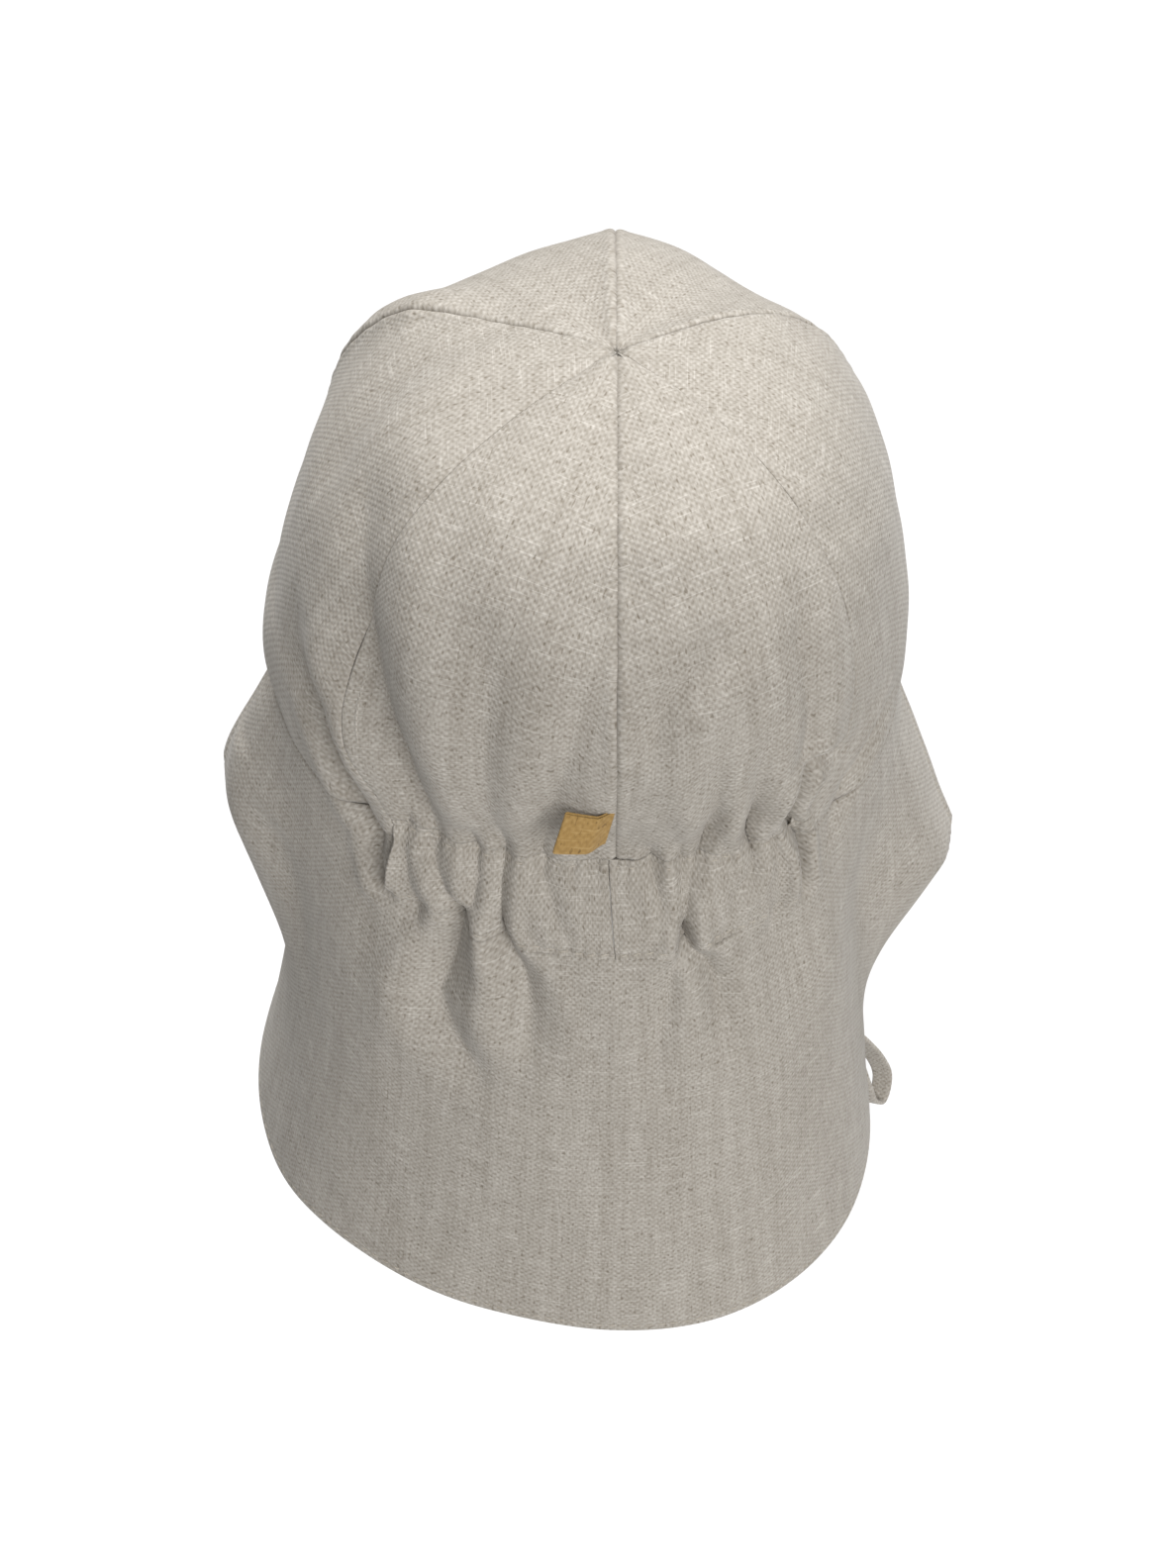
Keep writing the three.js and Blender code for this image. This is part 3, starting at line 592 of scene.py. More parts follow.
def along_route(route, spacing=0.8):
    """Points evenly spaced on the smooth curve through a route, its stations the distances between its
    points to the power one half, so that it doesn't overshoot at close points."""
    route = np.array(route, float)
    stations = np.concatenate([[0.0], np.cumsum(np.sqrt(np.linalg.norm(np.diff(route, axis=0), axis=1)))])
    fine = np.linspace(0, stations[-1], 600)
    line = np.stack([smooth(fine, stations, route[:, i]) for i in range(3)], axis=1)
    run = length_along(line)
    return on_line(np.linspace(0, run[-1], int(run[-1] / spacing) + 2), run, line), run[-1]


# %% The two ties
TIE_AT, TIE_SEAM_TOP, TIE_SEAM, TIE_CLEARANCE = 0.955, 108.0, 12.0, 0.4
half_tie = TIE_WIDTH / 2 / FLAP_SIDE
inward = -(CLOTH_WALL / 2 + TIE_CLEARANCE + TIE_WALL / 2)
ties = {}
for side, sign, route in (("left", 1, LEFT_TIE), ("right", -1, RIGHT_TIE)):
    sewn = flap_point(sign * TIE_AT, TIE_SEAM_TOP + TIE_SEAM * np.array([0.0, 0.5, 1.0]), inward)
    edge = flap_point(sign * (TIE_AT + half_tie * np.array([-1.0, 1.0])), TIE_SEAM_TOP + TIE_SEAM / 2)
    arriving = unit(np.array(route[-1]) - KNOT)
    whole = [*sewn, *route, KNOT + arriving * (KNOT_SIZE / 2 - KNOT_OVERLAP)]
    path, length = along_route(whole)
    tie = band(f"chin_tie_{side}.cloth", path, unit(edge[0] - edge[1]), TIE_WIDTH, TIE_WALL)
    ties[side] = (tie, path, length)
    print(tie.name, round(length, 1), "mm")

# %% [markdown]
# Between the gathers and the top the crown has a few broad, soft folds. Each runs from one turn low on
# the crown to another higher up. Bell curves across and a half sine along give soft folds with no edges.

# %% Soft folds of the crown
CROWN_FOLDS = np.array([
    # low turn, high turn, low share, high share, depth in mm (below 0 is a valley), width in degrees
    (90, 90, 0.00, 0.20, 2.2, 20.0),
    (70, 108, 0.35, 0.85, -2.2, 9.0),
    (8, 12, 0.20, 0.60, 0.8, 5.0),
    (66, 72, 0.05, 0.45, -1.0, 6.0),
    (-66, -72, 0.05, 0.45, -0.9, 6.0),
    (125, 125, 0.30, 0.80, 4.3, 9.0),
    (119, 119, 0.66, 0.94, -2.2, 12.0),
    (-143, -143, 0.28, 0.97, -2.7, 19.0),
])


def crown_folds(turn, up):
    """The sum of the broad folds at a turn and a length of cloth above the rim."""
    total = 0.0 * (turn + up)
    for low_turn, high_turn, low, high, depth, width in CROWN_FOLDS:
        along = np.clip((up / CROWN_CLOTH - low) / (high - low), 0.0, 1.0)
        away = (turn - (low_turn + (high_turn - low_turn) * along)) / width
        total += depth * bell(away) * np.sin(np.pi * along)
    return total


# %% [markdown]
# The six gores are long triangles of linen sewn together along their sides. Each is flat-cut, so between
# its seams it lies flatter than the ball it encloses, and at a seam the two edges turn in and make a
# narrow groove with a low ridge of allowance beside it. The groove is deepest towards the front and hardly
# shows at the two back seams, where the gathers pull the cloth flat. Each gore is its own surface between
# two seams, with the grain down its middle. That is why the threads meet at an angle along every seam.

# %% One gore
BACK_SWELL, SIDE_SWELL, FRONT_SWELL = 2.2, 0.4, -3.5
APEX_OPENING, STITCHED_GAP, EDGE_ROLL = 0.6, 0.05, 0.35
SEAM_GROOVE, SEAM_RIDGE, RIDGE_AWAY, RIDGE_WIDTH, RIDGE_FADE = 0.5, 0.35, 1.6, 1.2, 20.0
# how deep the groove is at each seam, in mm, by the seam's turn or its column in the crown's table
SEAM_DIPS = {0.0: 0.9, "back_seam": 0.15, "front_seam": 1.5, 180.0: 1.3}
PUCKER, PUCKER_REACH, PUCKER_WAVE = 0.08, 6.0, 7.3
over_casing = casing_top + STITCHED_GAP


def gore(name, sign, seams, swell, foot, seed, columns=120, rows=150):
    """Turns lie between the two seams less half the gap, and heights between the foot and the top. The
    middle surface stands off the smooth crown by the swell, folds, pleats, grooves, ridges and crumple."""
    v = np.linspace(0, 1, rows)[:, None] ** 0.8
    u = shares(columns, 0.85)[None, :]
    up = (CROWN_CLOTH - APEX_OPENING) * (1 - v) + foot * v
    first, last = (seam_turn(seam, sign, up) for seam in seams)
    low, high = np.minimum(first, last), np.maximum(first, last)
    trim = np.degrees(STITCHED_GAP / 2 / np.maximum(crown_radius((low + high) / 2, up), 1.0))
    turn = low + trim + (high - low - 2 * trim) * u
    up = up + 0 * turn
    radius = crown_radius(turn, up)
    offset = swell * np.sin(np.pi * u) * np.sqrt(np.sin(np.pi * np.clip(up / CROWN_CLOTH, 0, 1)))
    offset = offset + crown_folds(turn, up) + pleats(turn, up - casing_top)
    across = np.radians(turn - low) * radius
    to_seam = np.minimum(across, across[:, -1:] - across)
    near_first = (across <= across[:, -1:] / 2) == (sign > 0)
    dip = np.where(near_first, SEAM_DIPS[seams[0]], SEAM_DIPS[seams[1]])
    ridge = SEAM_RIDGE * np.clip((CROWN_CLOTH - up) / RIDGE_FADE, 0, 1) * dip.clip(0, 0.8)
    offset = offset + ridge * bell((to_seam - RIDGE_AWAY) / RIDGE_WIDTH) - dip * bell(to_seam / SEAM_GROOVE)
    wave = np.sin(up * 2 * np.pi / PUCKER_WAVE + 1.7 * np.sin(up / 11.0))
    offset = offset + PUCKER * dip * np.exp(-to_seam / PUCKER_REACH) * wave
    middle = off_crown(turn, up, offset + ripples(across, up, seed + (sign > 0), *GORE_CRUMPLE))
    length = CROWN_CLOTH - up
    angle = np.radians(turn - (low + high) / 2) * radius / np.maximum(length, 1.0)
    flat = np.stack([length * np.sin(angle), length * np.cos(angle)], axis=-1)
    return cloth_wall(name + ".cloth", middle, flat, CLOTH_WALL, EDGE_ROLL)


# %% The six gores
linen_pieces = []
for side, sign in (("left", 1), ("right", -1)):
    linen_pieces += [
        gore(f"gore_back_{side}", sign, (0.0, "back_seam"), BACK_SWELL, over_casing, seed=212, columns=160),
        gore(f"gore_side_{side}", sign, ("back_seam", "front_seam"), SIDE_SWELL, 0.0, seed=50),
        gore(f"gore_front_{side}", sign, ("front_seam", 180.0), FRONT_SWELL, 0.0, seed=330),
    ]
print("gores", {p.name: len(p.data.polygons) for p in linen_pieces})

# %% [markdown]
# Inside the cap every seam of the crown is covered by a narrow tape of the same linen, so that no light
# comes through the stitched line and no raw edge rubs the head. It is a flat band along each seam. A
# wider one goes round the rim, where the flap and the peak are sewn on, up to the ends of the casing.

# %% Seam tapes
TAPE_WIDTH, TAPE_WALL, TAPE_CLEARANCE, TAPE_START, TAPE_FOOT = 8.0, 0.8, 0.25, 9.0, 1.0
RIM_TAPE_WIDTH, RIM_TAPE_UP, RIM_TAPE_START = 14.0, 0.6, 3.0
tape_inset = CLOTH_WALL / 2 + TAPE_WALL / 2 + TAPE_CLEARANCE


def seam_tape(name, sign, seam, foot):
    """A band just inside the crown along one seam, from near the top to the seam's foot."""
    up = np.linspace(CROWN_CLOTH - TAPE_START, foot + TAPE_FOOT, 130)
    turn = seam_turn(seam, sign, up)
    path = off_crown(turn, up, crown_folds(turn, up) + pleats(turn, up - casing_top) - tape_inset)
    width_way = np.cross(crown_outward(turn, up), np.gradient(path, axis=0))
    return band(name, path, width_way, TAPE_WIDTH, TAPE_WALL)


# %% All the tapes as one piece
tape_parts = [seam_tape("centre-back tape", 1, 0.0, casing_top - CASING_TOP)]
tape_parts.append(seam_tape("centre-front tape", 1, 180.0, 0.0))
for sign in (1, -1):
    tape_parts += [seam_tape(f"{seam} tape", sign, seam, 0.0) for seam in ("back_seam", "front_seam")]
rim_turn = np.linspace(CASING_TURN + RIM_TAPE_START, 360 - CASING_TURN - RIM_TAPE_START, 260)
rim_offset = pleats(rim_turn, -CASING_TOP) * (rim_turn < 180) - tape_inset - TAPE_WALL
rim_path = off_crown(rim_turn, RIM_TAPE_UP, rim_offset)
tape_parts.append(band("rim tape", rim_path, np.array((0.0, 0.0, 1.0)), RIM_TAPE_WIDTH, TAPE_WALL))
tapes = joined("seam_tapes", tape_parts)
print("tapes", len(tapes.data.polygons), "faces")

# %% [markdown]
# The casing is a channel of the same linen with an elastic in it. It puffs out between its two stitched
# lines, and the pleats cross it from top to bottom. A left and a right half meet at the centre-back seam.
# It spans two curves, the crown's foot and its own foot, and everything else is an offset from that.

# %% The casing
CASING_STITCH, CASING_SLIP, CASING_FLAT = 1.6, 1.4, 78.0
CASING_FURROW, CASING_FURROW_WIDTH = 0.45, 0.7
CASING_PUCKER, CASING_PUCKER_REACH, CASING_PUCKER_WAVE = 0.22, 2.0, 3.3963


def casing_point(sign, share, v, out=0.0):
    """Straight from the crown's foot to the casing's foot, out by a half sine and in by the pleats, with
    a furrow and a small pucker along both lines of stitching."""
    share, v = np.broadcast_arrays(np.asarray(share, float), np.asarray(v, float))
    trim = np.degrees(STITCHED_GAP / 2 / HALF_LENGTH)
    lengths = np.linspace(0, casing_top + 1, 60)
    rim_up = np.interp(CASING_TOP - CASING_HEIGHT * v, crown_column("rise", lengths) * CROWN_HEIGHT, lengths)
    turn = sign * (trim + (crown_column("back_seam", rim_up) - 3 * trim) * share)
    turn = turn + CASING_SLIP * (1 - share) * (1 - v)
    upper = crown_base(turn, casing_top + 0 * turn)
    lower = at_turn(turn, crown_radius(turn, 0.0) + nape_spread(share), -CASING_DROP)
    outward = unit(crown_outward(turn, casing_top + 0 * turn) * (1 - v)[..., None]
                   + at_turn(turn, 1.0, 0.0) * v[..., None])
    across, below = np.radians(turn) * HALF_LENGTH, CASING_HEIGHT * v
    to_stitch = np.minimum(below, CASING_HEIGHT - below) - CASING_STITCH
    offset = CASING_PUFF * np.sin(np.pi * v) + pleats(turn, -below)
    offset = offset + ripples(across, below, 31 + sign, *CASING_CRUMPLE)
    offset = offset - CASING_FURROW * bell(to_stitch / CASING_FURROW_WIDTH)
    wave = np.sin(across * 2 * np.pi / CASING_PUCKER_WAVE + 2 * np.sin(across / 5.0))
    offset = offset + CASING_PUCKER * np.exp(-np.abs(to_stitch) / CASING_PUCKER_REACH) * wave
    return slipped(upper * (1 - v)[..., None] + lower * v[..., None] + outward * (offset + out)[..., None])


def casing(side, sign, columns=150, rows=44):
    """Half of the casing, from the centre-back seam to its end at the crown's back seam."""
    v, u = shares(rows, 0.7)[:, None], shares(columns, 0.6)[None, :]
    share = u if sign > 0 else 1 - u
    middle = casing_point(sign, share, v)
    flat = np.stack(np.broadcast_arrays(sign * share * CASING_FLAT, CASING_HEIGHT * v), axis=-1)
    return cloth_wall(f"casing_{side}.cloth", middle, flat, CLOTH_WALL, EDGE_ROLL)


linen_pieces += [casing("left", 1), casing("right", -1)]

# %% The neck flap
under_casing = CASING_TURN / FLAP_TURN
wing = under_casing + (1.0 - under_casing) * shares(72, 0.5)[1:]
flap_at = np.concatenate([-wing[::-1], np.linspace(-under_casing, under_casing, 170), wing])[None, :]
flap_down = flap_top(flap_at) + (flap_depth(flap_at) - flap_top(flap_at)) * shares(130, 0.4)[:, None]
flap_middle = flap_point(flap_at, flap_down)
flap_flat = np.stack(np.broadcast_arrays(flap_at * FLAP_SIDE * FLAP_FULLNESS, flap_down), axis=-1)
neck_flap = cloth_wall("neck_flap.cloth", flap_middle, flap_flat, CLOTH_WALL, 0.8)
linen_pieces.append(neck_flap)
print("neck flap", len(neck_flap.data.polygons), "faces")

# %% [markdown]
# The peak is hidden behind the crown in the photo, so it is finished plainly: a short crescent of doubled
# linen over a thin stiffener, sloping down a little, with one row of stitching near its edge.

# %% The peak
PEAK_TURN, PEAK_REACH, PEAK_END, PEAK_DROP, PEAK_WALL = 107.0, 54.0, 5.0, 15.0, 2.6
PEAK_SPLAY, PEAK_FULLNESS, PEAK_CURL, PEAK_END_FALL = 0.35, 0.8, 1.3, 0.5
PEAK_STITCH, PEAK_FURROW, PEAK_FURROW_WIDTH = 2.2, 0.2, 0.6


def peak_point(u, v):
    """From the rim forwards: the reach is a sine along the rim, and the fall grows with the reach."""
    u, v = np.broadcast_arrays(np.asarray(u, float), np.asarray(v, float))
    turn = PEAK_TURN + (360 - 2 * PEAK_TURN) * u
    inner = at_turn(turn, crown_radius(turn, 0.0) - CLOTH_WALL / 2, 0.0)
    ahead = unit(at_turn(turn, PEAK_SPLAY, 0.0) + np.array((0, -1 + PEAK_SPLAY, 0)))
    reach = PEAK_END + (PEAK_REACH - PEAK_END) * np.sin(np.pi * u) ** PEAK_FULLNESS
    ends = 1 + PEAK_END_FALL * np.cos(np.pi * u) ** 2
    fall = PEAK_DROP * reach / PEAK_REACH * v**PEAK_CURL * ends
    point = inner + ahead * (reach * v)[..., None]
    furrow = PEAK_FURROW * bell((reach * (1 - v) - PEAK_STITCH) / PEAK_FURROW_WIDTH)
    point[..., 2] = -SEAM_GAP - PEAK_WALL / 2 - fall - furrow
    return slipped(point)


peak_middle = peak_point(shares(130, 0.5)[None, :], shares(60, 0.7)[:, None])
peak_flat = peak_middle[..., :2] * np.array((1.0, 1.03))
peak = cloth_wall("peak.cloth", peak_middle, peak_flat, PEAK_WALL, 1.3)
linen_pieces.append(peak)

# %% [markdown]
# A small bare label of tan twill is folded double and sewn into the centre-back seam. It is left without
# any lettering. The two plies lie a hair apart, which draws the fine dark line along its upper edge.

# %% The label
LABEL_LENGTH, LABEL_HEIGHT, LABEL_ROOT, LABEL_BEND = 11.0, 9.0, 7.0, 0.4
# its foot's height over the casing, its rise to the free end, and how far its foot leans that way, in mm
LABEL_FOOT, LABEL_RISE, LABEL_SLANT = 18.5, 3.4, 2.2
# how it stands off the cloth: from sunk in the seam, by a bend, then towards its free end and its foot
LABEL_CLEAR, LABEL_SUNK, LABEL_STAND, LABEL_LIFT, LABEL_TILT, LABEL_TWIST = 0.45, 0.75, 2.4, 1.2, 4.5, 1.5
LABEL_PLY, LABEL_SPACE = 0.36, 0.30


def label_point(along, v, offset):
    """The label's surface at a length from its seam, a share down it and a distance off its middle."""
    u = np.clip(along / LABEL_LENGTH, 0.0, 1.0)
    height = LABEL_ROOT + (LABEL_HEIGHT - LABEL_ROOT) * np.sqrt(u)
    up = casing_top + LABEL_FOOT + height * (1 - v) + LABEL_RISE * u
    turn = np.degrees((SEAM_GAP + along + LABEL_SLANT * v) / crown_radius(0.0, up))
    root = CLOTH_WALL / 2 + SEAM_GAP + LABEL_CLEAR - LABEL_SUNK
    lift = LABEL_STAND * eased(u / LABEL_BEND) + LABEL_LIFT * u + (LABEL_TILT + LABEL_TWIST * u) * v
    return off_crown(turn, up, root + lift + offset)


# %% The label folded double
half_space = (LABEL_PLY + LABEL_SPACE) / 2
straight = LABEL_LENGTH - half_space
run = shares(90)[None, :] * (2 * straight + np.pi * half_space)
bend = np.clip((run - straight) / half_space, 0, np.pi)
back = np.maximum(run - straight - np.pi * half_space, 0)
label_along = np.minimum(run, straight) + half_space * np.sin(bend) - back
label_down = shares(26, 0.5)[:, None]
label_middle = label_point(label_along + 0 * label_down, label_down + 0 * label_along,
                           half_space * np.cos(bend) + 0 * label_down)
label_flat = np.stack(np.broadcast_arrays(run, LABEL_HEIGHT * label_down), axis=-1)
label = cloth_wall("label.cloth", label_middle, label_flat, LABEL_PLY, 0.2)
print("label", len(label.data.polygons), "faces")

# %% [markdown]
# The bow is tied from the ends of the two ties: two hanging loops and two tails come out of a small tight
# knot. The knot is a lump of cloth wrapped by two turns of the same band, as a tightened tie looks.

# %% The knot
def wrap(name, axis, radius, width):
    """A band once round the knot and a little more, its width along the axis."""
    axis = unit(np.array(axis, float))
    first = unit(np.cross(axis, (0.3, 0.2, 1.0)))
    angle = np.linspace(0, 2.3 * np.pi, 60)[:, None]
    circle = first * np.cos(angle) + np.cross(axis, first) * np.sin(angle)
    path = KNOT + circle * (radius + 0.35 * angle / np.pi)
    return band(name, path, axis, width, 1.2)


def lump(name, radii, seed):
    """A closed ball of quads, its radius varied by a crumple: rows from pole to pole, points round."""
    rows, around, pole = 24, 36, 0.04
    v = np.linspace(pole, np.pi - pole, rows)[:, None]
    u = np.linspace(0, 2 * np.pi, around, endpoint=False)[None, :]
    ball = np.stack(np.broadcast_arrays(np.sin(v) * np.cos(u), np.sin(v) * np.sin(u), np.cos(v)), axis=-1)
    crumple = 1 + ripples(u * 4, v * 4, seed, 7.0, 0.10) * np.sin(v)
    points = (KNOT + ball * np.array(radii) * crumple[..., None]).reshape(-1, 3)
    flat = np.stack(np.broadcast_arrays(u * 4, v * 4), axis=-1).reshape(-1, 2)
    return add_piece(name, points, tube_faces(1, rows, around)[:, [0, 3, 2, 1]], flat)


# %% The bow
loops = [
    ("right loop", [*RIGHT_LOOP, KNOT], (-1, 0.25, 0)),
    ("left loop", [*LEFT_LOOP, KNOT], (0, 1, 0)),
    ("first tail", FIRST_TAIL, (1, 0.3, 0)),
    ("second tail", SECOND_TAIL, (1, -0.3, 0)),
]
bow_parts = [band(name, along_route([KNOT, *route], 0.9)[0], np.array(way, float), TIE_WIDTH, TIE_WALL)
             for name, route, way in loops]
bow_parts += [lump("lump", (4.4, 4.0, 4.2), 5), wrap("first turn", (0.9, 0.2, 0.3), 3.9, 5.4),
              wrap("second turn", (0.3, 0.1, 0.95), 4.1, 4.6)]
bow = joined("tie_bow.cloth", bow_parts)
print("bow", len(bow.data.polygons), "faces")

# %% [markdown]
# Thread stands proud of the cloth by a few tenths of a millimetre, and each stitch dips in at both ends.
# Lines of lockstitch run round the flap's edge, along both edges of the casing and near the peak's edge.
# They are real little capsules, because the light catches them one by one.

# %% One line of stitches
STITCH, STITCH_SPACE, THREAD, STITCH_RISE, STITCH_SINK = 2.6, 0.9, 0.42, 0.10, 0.32


def stitches(name, lines):
    """Capsules along lines of points that lie on the cloth, each line given with its outward ways."""
    ring = np.linspace(0, 2 * np.pi, 6, endpoint=False)
    along = np.array([-1.0, -0.75, -0.3, 0.3, 0.75, 1.0])
    radius = (np.array([0.25, 0.8, 1.0, 1.0, 0.8, 0.25]) * THREAD / 2)[:, None, None]
    rise = STITCH_RISE - STITCH_SINK * along**4
    points = []
    for line, out in lines:
        gone = length_along(line)
        count = int(gone[-1] / (STITCH + STITCH_SPACE))
        middle = (np.arange(count) + 0.5) * gone[-1] / count
        place = middle[:, None] + along * STITCH / 2
        centre = on_line(place, gone, line)
        way = unit(centre[:, -1] - centre[:, 0])[:, None]
        up = unit(on_line(place, gone, out))
        beside = np.cross(way, up)
        centre = centre + up * rise[:, None]
        points.append(centre[:, :, None] + beside[:, :, None] * (np.cos(ring)[:, None] * radius)
                      + up[:, :, None] * (np.sin(ring)[:, None] * radius))
    points = np.concatenate(points)
    print(name, len(points), "stitches")
    return add_piece(name, points.reshape(-1, 3), tube_faces(*points.shape[:3]))


def on_cloth(point, out):
    """A line at a distance out of the cloth's middle, with the ways to a point 1 mm further out."""
    line, beyond = point(out), point(out + np.sign(out))
    return line, unit(beyond - line)


# %% Lines along the flap's edge
edge_share = np.linspace(-1, 1, 2401)
hem_inset = HEM_STITCH / FLAP_SIDE
hem_at = edge_share * (1 - hem_inset)
hem_corner = FLAP_CORNER - HEM_STITCH
hem_inside = np.maximum(0.0, hem_corner - (1 - hem_inset - np.abs(hem_at)) * FLAP_SIDE)
hem_down = (FLAP_LENGTH * flap_column("drop", hem_at) - HEM_STITCH - hem_corner
            + np.sqrt(np.maximum(0.0, hem_corner**2 - hem_inside**2)))
hem_lines = []
for skin in (CLOTH_WALL / 2, -CLOTH_WALL / 2):
    hem_lines.append(on_cloth(lambda out: flap_point(hem_at, hem_down, out), skin))
    for sign in (1, -1):
        front_down = np.linspace(3.0, hem_down[0 if sign < 0 else -1], 300)
        hem_lines.append(on_cloth(lambda out: flap_point(sign * (1 - hem_inset), front_down, out), skin))
flap_stitches = stitches("neck_flap.stitches", hem_lines)

# %% Lines along the casing and the peak
along_casing = np.linspace(0.01, 0.99, 400)
stitch_share = CASING_STITCH / CASING_HEIGHT
casing_lines = [
    on_cloth(lambda out: casing_point(sign, along_casing, v, out), CLOTH_WALL / 2)
    for sign in (1, -1) for v in (stitch_share, 1 - stitch_share)
]
casing_stitches = stitches("casing.stitches", casing_lines)

peak_share = np.linspace(0.03, 0.97, 500)
peak_room = PEAK_END + (PEAK_REACH - PEAK_END) * np.sin(np.pi * peak_share) ** PEAK_FULLNESS
peak_line = peak_point(peak_share, 1 - PEAK_STITCH / peak_room)
peak_out = np.array((0.0, 0.0, 1.0)) + 0 * peak_line
peak_lines = [(peak_line + face * peak_out * PEAK_WALL / 2, face * peak_out) for face in (1, -1)]
peak_stitches = stitches("peak.stitches", peak_lines)

# %% [markdown]
# Natural linen is a plain weave of uneven yarn. Each yarn swells and thins along its length, so fine
# streaks run both ways, and greige and cream fibres lie mixed in it. Woven in one by one the threads
# would be far too many, so the weave is worked into the surface: its streaks tint the colour, and the
# over-and-under of the threads lifts the light as bump. A real thread here is 0.6 mm and would fall
# between the picture's pixels, so the weave is drawn at 0.9 mm, the finest that still shows. Linen has
# next to no gloss: it is rough, with a faint sheen from the fibre ends that stand up. The label's twill
# is as fine, so the same weave serves for it, in tan.

# %% Materials
def colour(code):
    """An sRGB hex code as linear red, green, blue and alpha."""
    parts = np.array([int(code[i:i + 2], 16) for i in (1, 3, 5)]) / 255
    linear = np.where(parts <= 0.04045, parts / 12.92, ((parts + 0.055) / 1.055) ** 2.4)
    return (*[float(c) for c in linear], 1.0)


def material(name):
    """A new material, its principled shader, the function that links two sockets, and a function that
    adds a node by kind, settings and inputs, where an input is a value or another node's output."""
    made = bpy.data.materials.new(name)
    made.use_nodes = True
    tree = made.node_tree
    tree.nodes.clear()

    def node(kind, settings=None, **inputs):
        added = tree.nodes.new("ShaderNode" + kind)
        for key, value in (settings or {}).items():
            setattr(added, key, value)
        for key, value in inputs.items():
            socket = added.inputs[int(key[1:])] if key[1:].isdigit() else added.inputs[key.replace("_", " ")]
            if isinstance(value, bpy.types.NodeSocket):
                tree.links.new(value, socket)
            else:
                socket.default_value = value
        return added

    shader = node("BsdfPrincipled")
    node("OutputMaterial", Surface=shader.outputs[0])
    return made, node, shader, tree.links.new


# %% Woven linen and twill
THREAD_PITCH = 0.9


def woven(name, tones, across_mm, streak_mm, contrast, bump, roughness=0.9):
    """A plain weave on the flat cut: streaks along both yarns, mixed fibres, slubs and specks make one
    share from dark to light, and two crossing waves, one thread up where the other is down, the bump."""
    made, node, shader, link = material(name)
    cut = node("UVMap", {"uv_map": "cut"}).outputs[0]

    def scaled(x, y):
        times = (1 / (x * MM), 1 / (y * MM), 1)
        return node("VectorMath", {"operation": "MULTIPLY"}, i0=cut, i1=times).outputs[0]

    def noise(x, y, detail):
        return node("TexNoise", {"noise_dimensions": "2D"}, Vector=scaled(x, y), Scale=1.0, Detail=detail,
                    Roughness=0.55).outputs[0]

    def maths(operation, first, second, third=0.0):
        return node("Math", {"operation": operation}, i0=first, i1=second, i2=third).outputs[0]

    def over(value, limit):
        soft = {"interpolation_type": "SMOOTHSTEP"}
        return node("MapRange", soft, i0=value, i1=limit, i2=limit + 0.10).outputs[0]

    warp, weft = noise(across_mm, streak_mm, 1.0), noise(streak_mm, across_mm, 1.0)
    melange, cloud = noise(0.5, 1.1, 0.0), noise(3.2, 60.0, 2.0)
    slub, speck = over(noise(9.0, 0.5, 0.0), 0.70), over(noise(0.8, 1.8, 0.0), 0.74)
    parts = node("SeparateXYZ", None, Vector=scaled(THREAD_PITCH / np.pi, THREAD_PITCH / np.pi))
    threads = maths("MULTIPLY", maths("SINE", parts.outputs[0], 0), maths("SINE", parts.outputs[1], 0))
    yarns = maths("MULTIPLY_ADD", threads, 0.15 * contrast, 0.5)
    for part, share in ((warp, 0.28), (weft, 0.34), (melange, 0.40), (cloud, 0.28)):
        yarns = maths("MULTIPLY_ADD", maths("SUBTRACT", part, 0.5), share * contrast, yarns)
    light = maths("MULTIPLY_ADD", slub, 0.22, maths("MULTIPLY_ADD", speck, -0.32, yarns))
    ramp = node("ValToRGB", None, Fac=light)
    ramp.color_ramp.elements[0].color = colour(tones[0])
    ramp.color_ramp.elements[1].color = colour(tones[-1])
    ramp.color_ramp.elements.new(0.5).color = colour(tones[1])
    link(ramp.outputs[0], shader.inputs["Base Color"])
    height = maths("ADD", maths("MULTIPLY", threads, 0.30), maths("MULTIPLY", light, 0.5))
    lift = node("Bump", None, Strength=1.0, Distance=bump * MM, Height=height)
    link(lift.outputs[0], shader.inputs["Normal"])
    shader.inputs["Roughness"].default_value = roughness
    shader.inputs["Specular IOR Level"].default_value = 0.25
    shader.inputs["Sheen Weight"].default_value = 0.12
    shader.inputs["Sheen Roughness"].default_value = 0.5
    return made


linen = woven("natural linen", ("#776F63", "#9C968D", "#BCB7AF"), 0.7, 10.0, 1.0, 0.14)
label_twill = woven("tan twill", ("#6E552E", "#987A48", "#B09463"), 0.7, 3.0, 0.6, 0.12)

# %% Linen thread
sewing_thread, thread_node, thread_shader, thread_link = material("linen thread")
place = thread_node("TexCoord").outputs["Object"]
twist = thread_node("TexNoise", None, Vector=place, Scale=900.0, Detail=1.0).outputs[0]
shade = thread_node("MixRGB", None, Fac=twist, Color1=colour("#968E81"), Color2=colour("#BDB6AA"))
thread_link(shade.outputs[0], thread_shader.inputs["Base Color"])
thread_shader.inputs["Roughness"].default_value = 0.7
for piece in [*linen_pieces, tapes, bow, ties["left"][0], ties["right"][0]]:
    piece.data.materials.append(linen)
label.data.materials.append(label_twill)
for piece in (flap_stitches, casing_stitches, peak_stitches):
    piece.data.materials.append(sewing_thread)

# %% [markdown]
# The photo is a catalogue picture on pure white with soft light from above: the top of the crown is the
# brightest part, and the flap and both sides lie in half shade. One very wide light stands above and a
# little in front of the cap, a weaker one beside the camera, and the studio round them gives a low, even
# light. The floor is pale and far below, so that it comes out white and keeps no shadow.

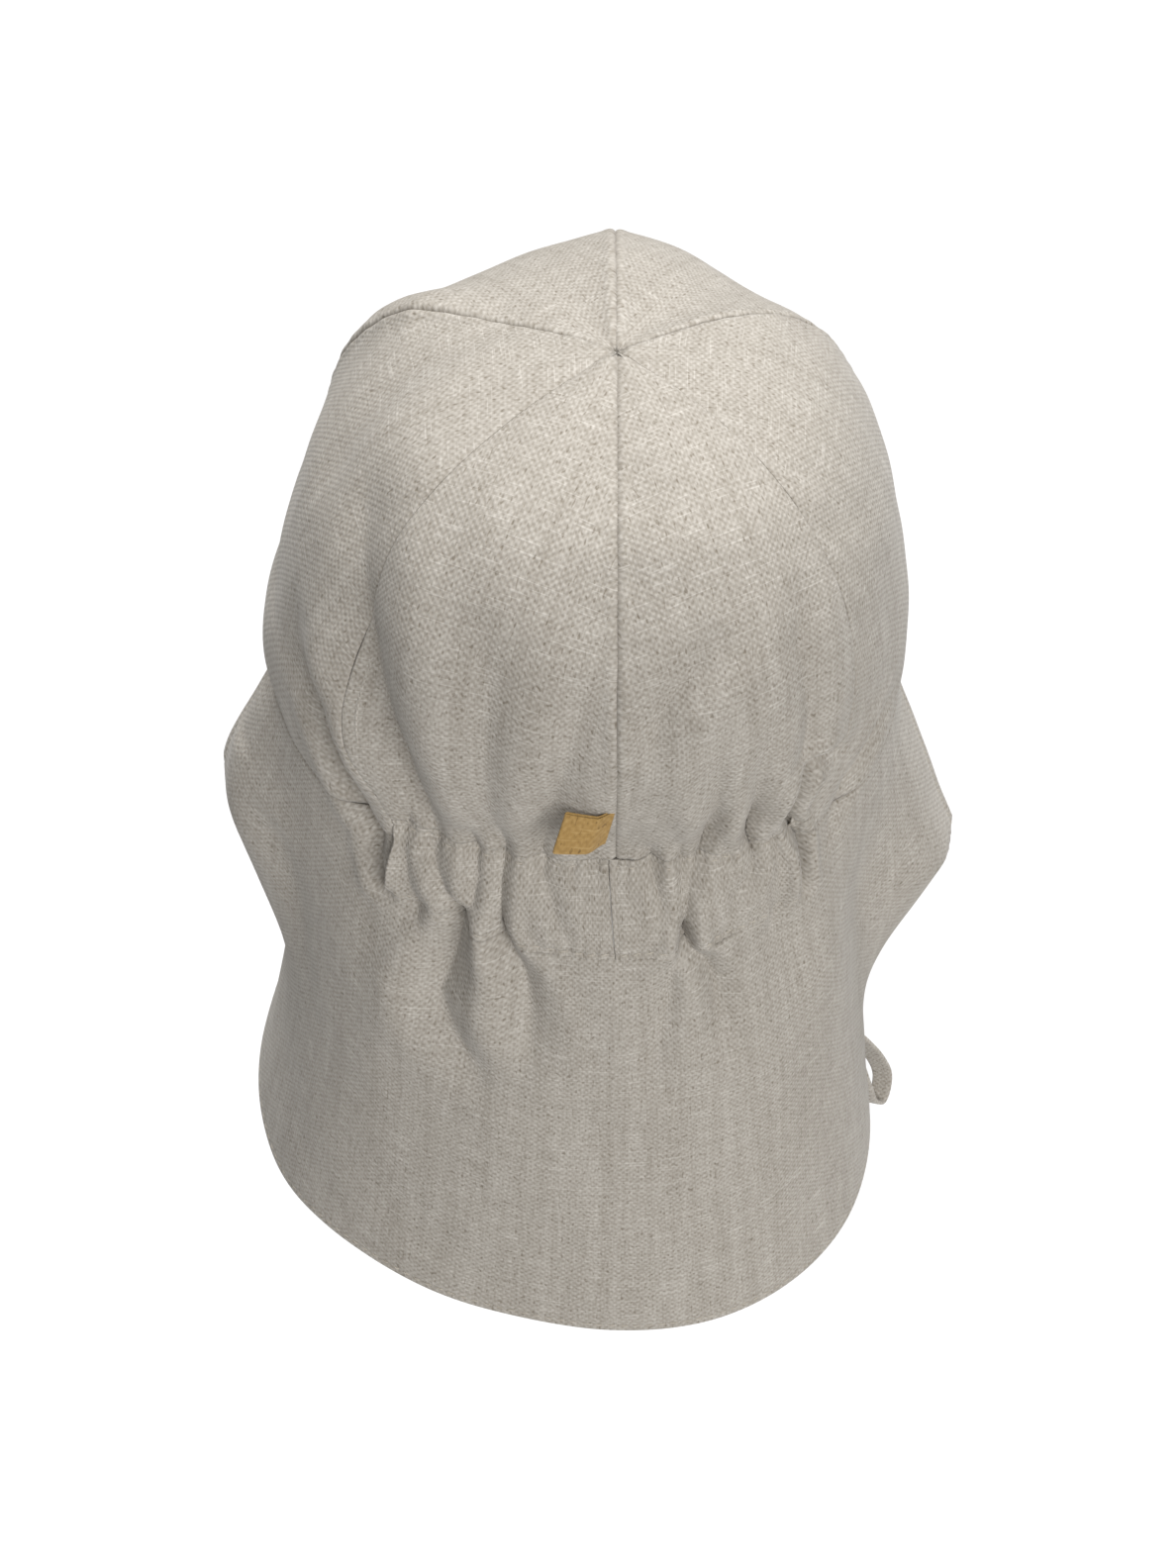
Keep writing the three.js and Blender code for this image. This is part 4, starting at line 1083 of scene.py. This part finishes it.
# %% Light
scene = bpy.context.scene
scene.view_settings.view_transform = "Standard"
world = bpy.data.worlds.new("studio")
scene.world = world
world.use_nodes = True
backdrop = world.node_tree.nodes["Background"]
backdrop.inputs["Color"].default_value = colour("#FFFFFF")
backdrop.inputs["Strength"].default_value = 0.30


def wide_light(name, way, strength):
    """A light as wide as a window seen from near by, 40 degrees across, from the given way."""
    lamp = bpy.data.lights.new(name, "SUN")
    lamp.energy, lamp.angle = strength, np.radians(40)
    holder = bpy.data.objects.new(name, lamp)
    holder.rotation_mode = "QUATERNION"
    holder.rotation_quaternion = Vector(way).to_track_quat("Z", "Y")
    bpy.context.collection.objects.link(holder)


wide_light("overhead", (0.0, -0.5, 0.87), 4.4)
wide_light("beside the camera", (-0.34, 0.77, 0.54), 2.75)

# %% The floor
FLOOR_REACH, FLOOR_DEPTH = 2200.0, 1400.0
floor_corners = np.array([(-1, -1), (1, -1), (1, 1), (-1, 1)]) * FLOOR_REACH
floor = add_piece("floor", np.insert(floor_corners, 2, -FLOOR_DEPTH, axis=1), np.array([[0, 1, 2, 3]]))
paper, paper_node, paper_shader, paper_link = material("white paper")
grain = paper_node("TexNoise", None, Vector=paper_node("TexCoord").outputs["Object"], Scale=40.0).outputs[0]
tint = paper_node("MixRGB", None, Fac=grain, Color1=colour("#C1C1C1"), Color2=colour("#C4C4C4"))
paper_link(tint.outputs[0], paper_shader.inputs["Base Color"])
paper_shader.inputs["Roughness"].default_value = 0.95
floor.data.materials.append(paper)
floor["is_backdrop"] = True

# %% [markdown]
# Every piece rides the one body and stands in for its solid, which is hidden. The flat cut of each cloth is
# measured on the map that the weave uses.

# %% What each piece is
def flat_cut(piece):
    """The width, length and area of the flat cut: the outer skin's half of the map, in metres."""
    uv = np.empty(len(piece.data.loops) * 2)
    piece.data.uv_layers["cut"].data.foreach_get("uv", uv)
    quads = uv.reshape(-1, 4, 2)
    one, other = quads[:, 2] - quads[:, 0], quads[:, 3] - quads[:, 1]
    area = np.abs(one[:, 0] * other[:, 1] - one[:, 1] * other[:, 0]).sum() / 4
    width, length = np.ptp(uv.reshape(-1, 2), axis=0)
    return (float(width), float(length)), float(min(area, width * length))


for piece in linen_pieces:
    solid = piece.name.split(".")[0]
    flat, area = flat_cut(piece)
    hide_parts(solid)

# %% The label, the ties and the bow
LABEL_SEAM = 1.2
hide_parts("label")
flat, area = flat_cut(label)
flat = (flat[0], flat[1] + LABEL_SEAM * MM)
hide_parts("tie_bow")
for side, (tie, path, length) in ties.items():
    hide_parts(f"chin_tie_{side}")
everything = [*linen_pieces, tapes, label, bow, ties["left"][0], ties["right"][0]]
everything += [flap_stitches, casing_stitches, peak_stitches]
for piece in everything:
    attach(piece, "root")
print(len(everything), "pieces", sum(len(p.data.polygons) for p in everything) * 2, "triangles")

# %% The sizes of the solids and of the pieces
boxes = {"solid": solid_box, "visual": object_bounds()}
boxes = {name: [[float(x) for x in corner] for corner in box] for name, box in boxes.items()}
for name, box in boxes.items():
    print(name, "box in mm", [[round(x / MM, 1) for x in corner] for corner in box])
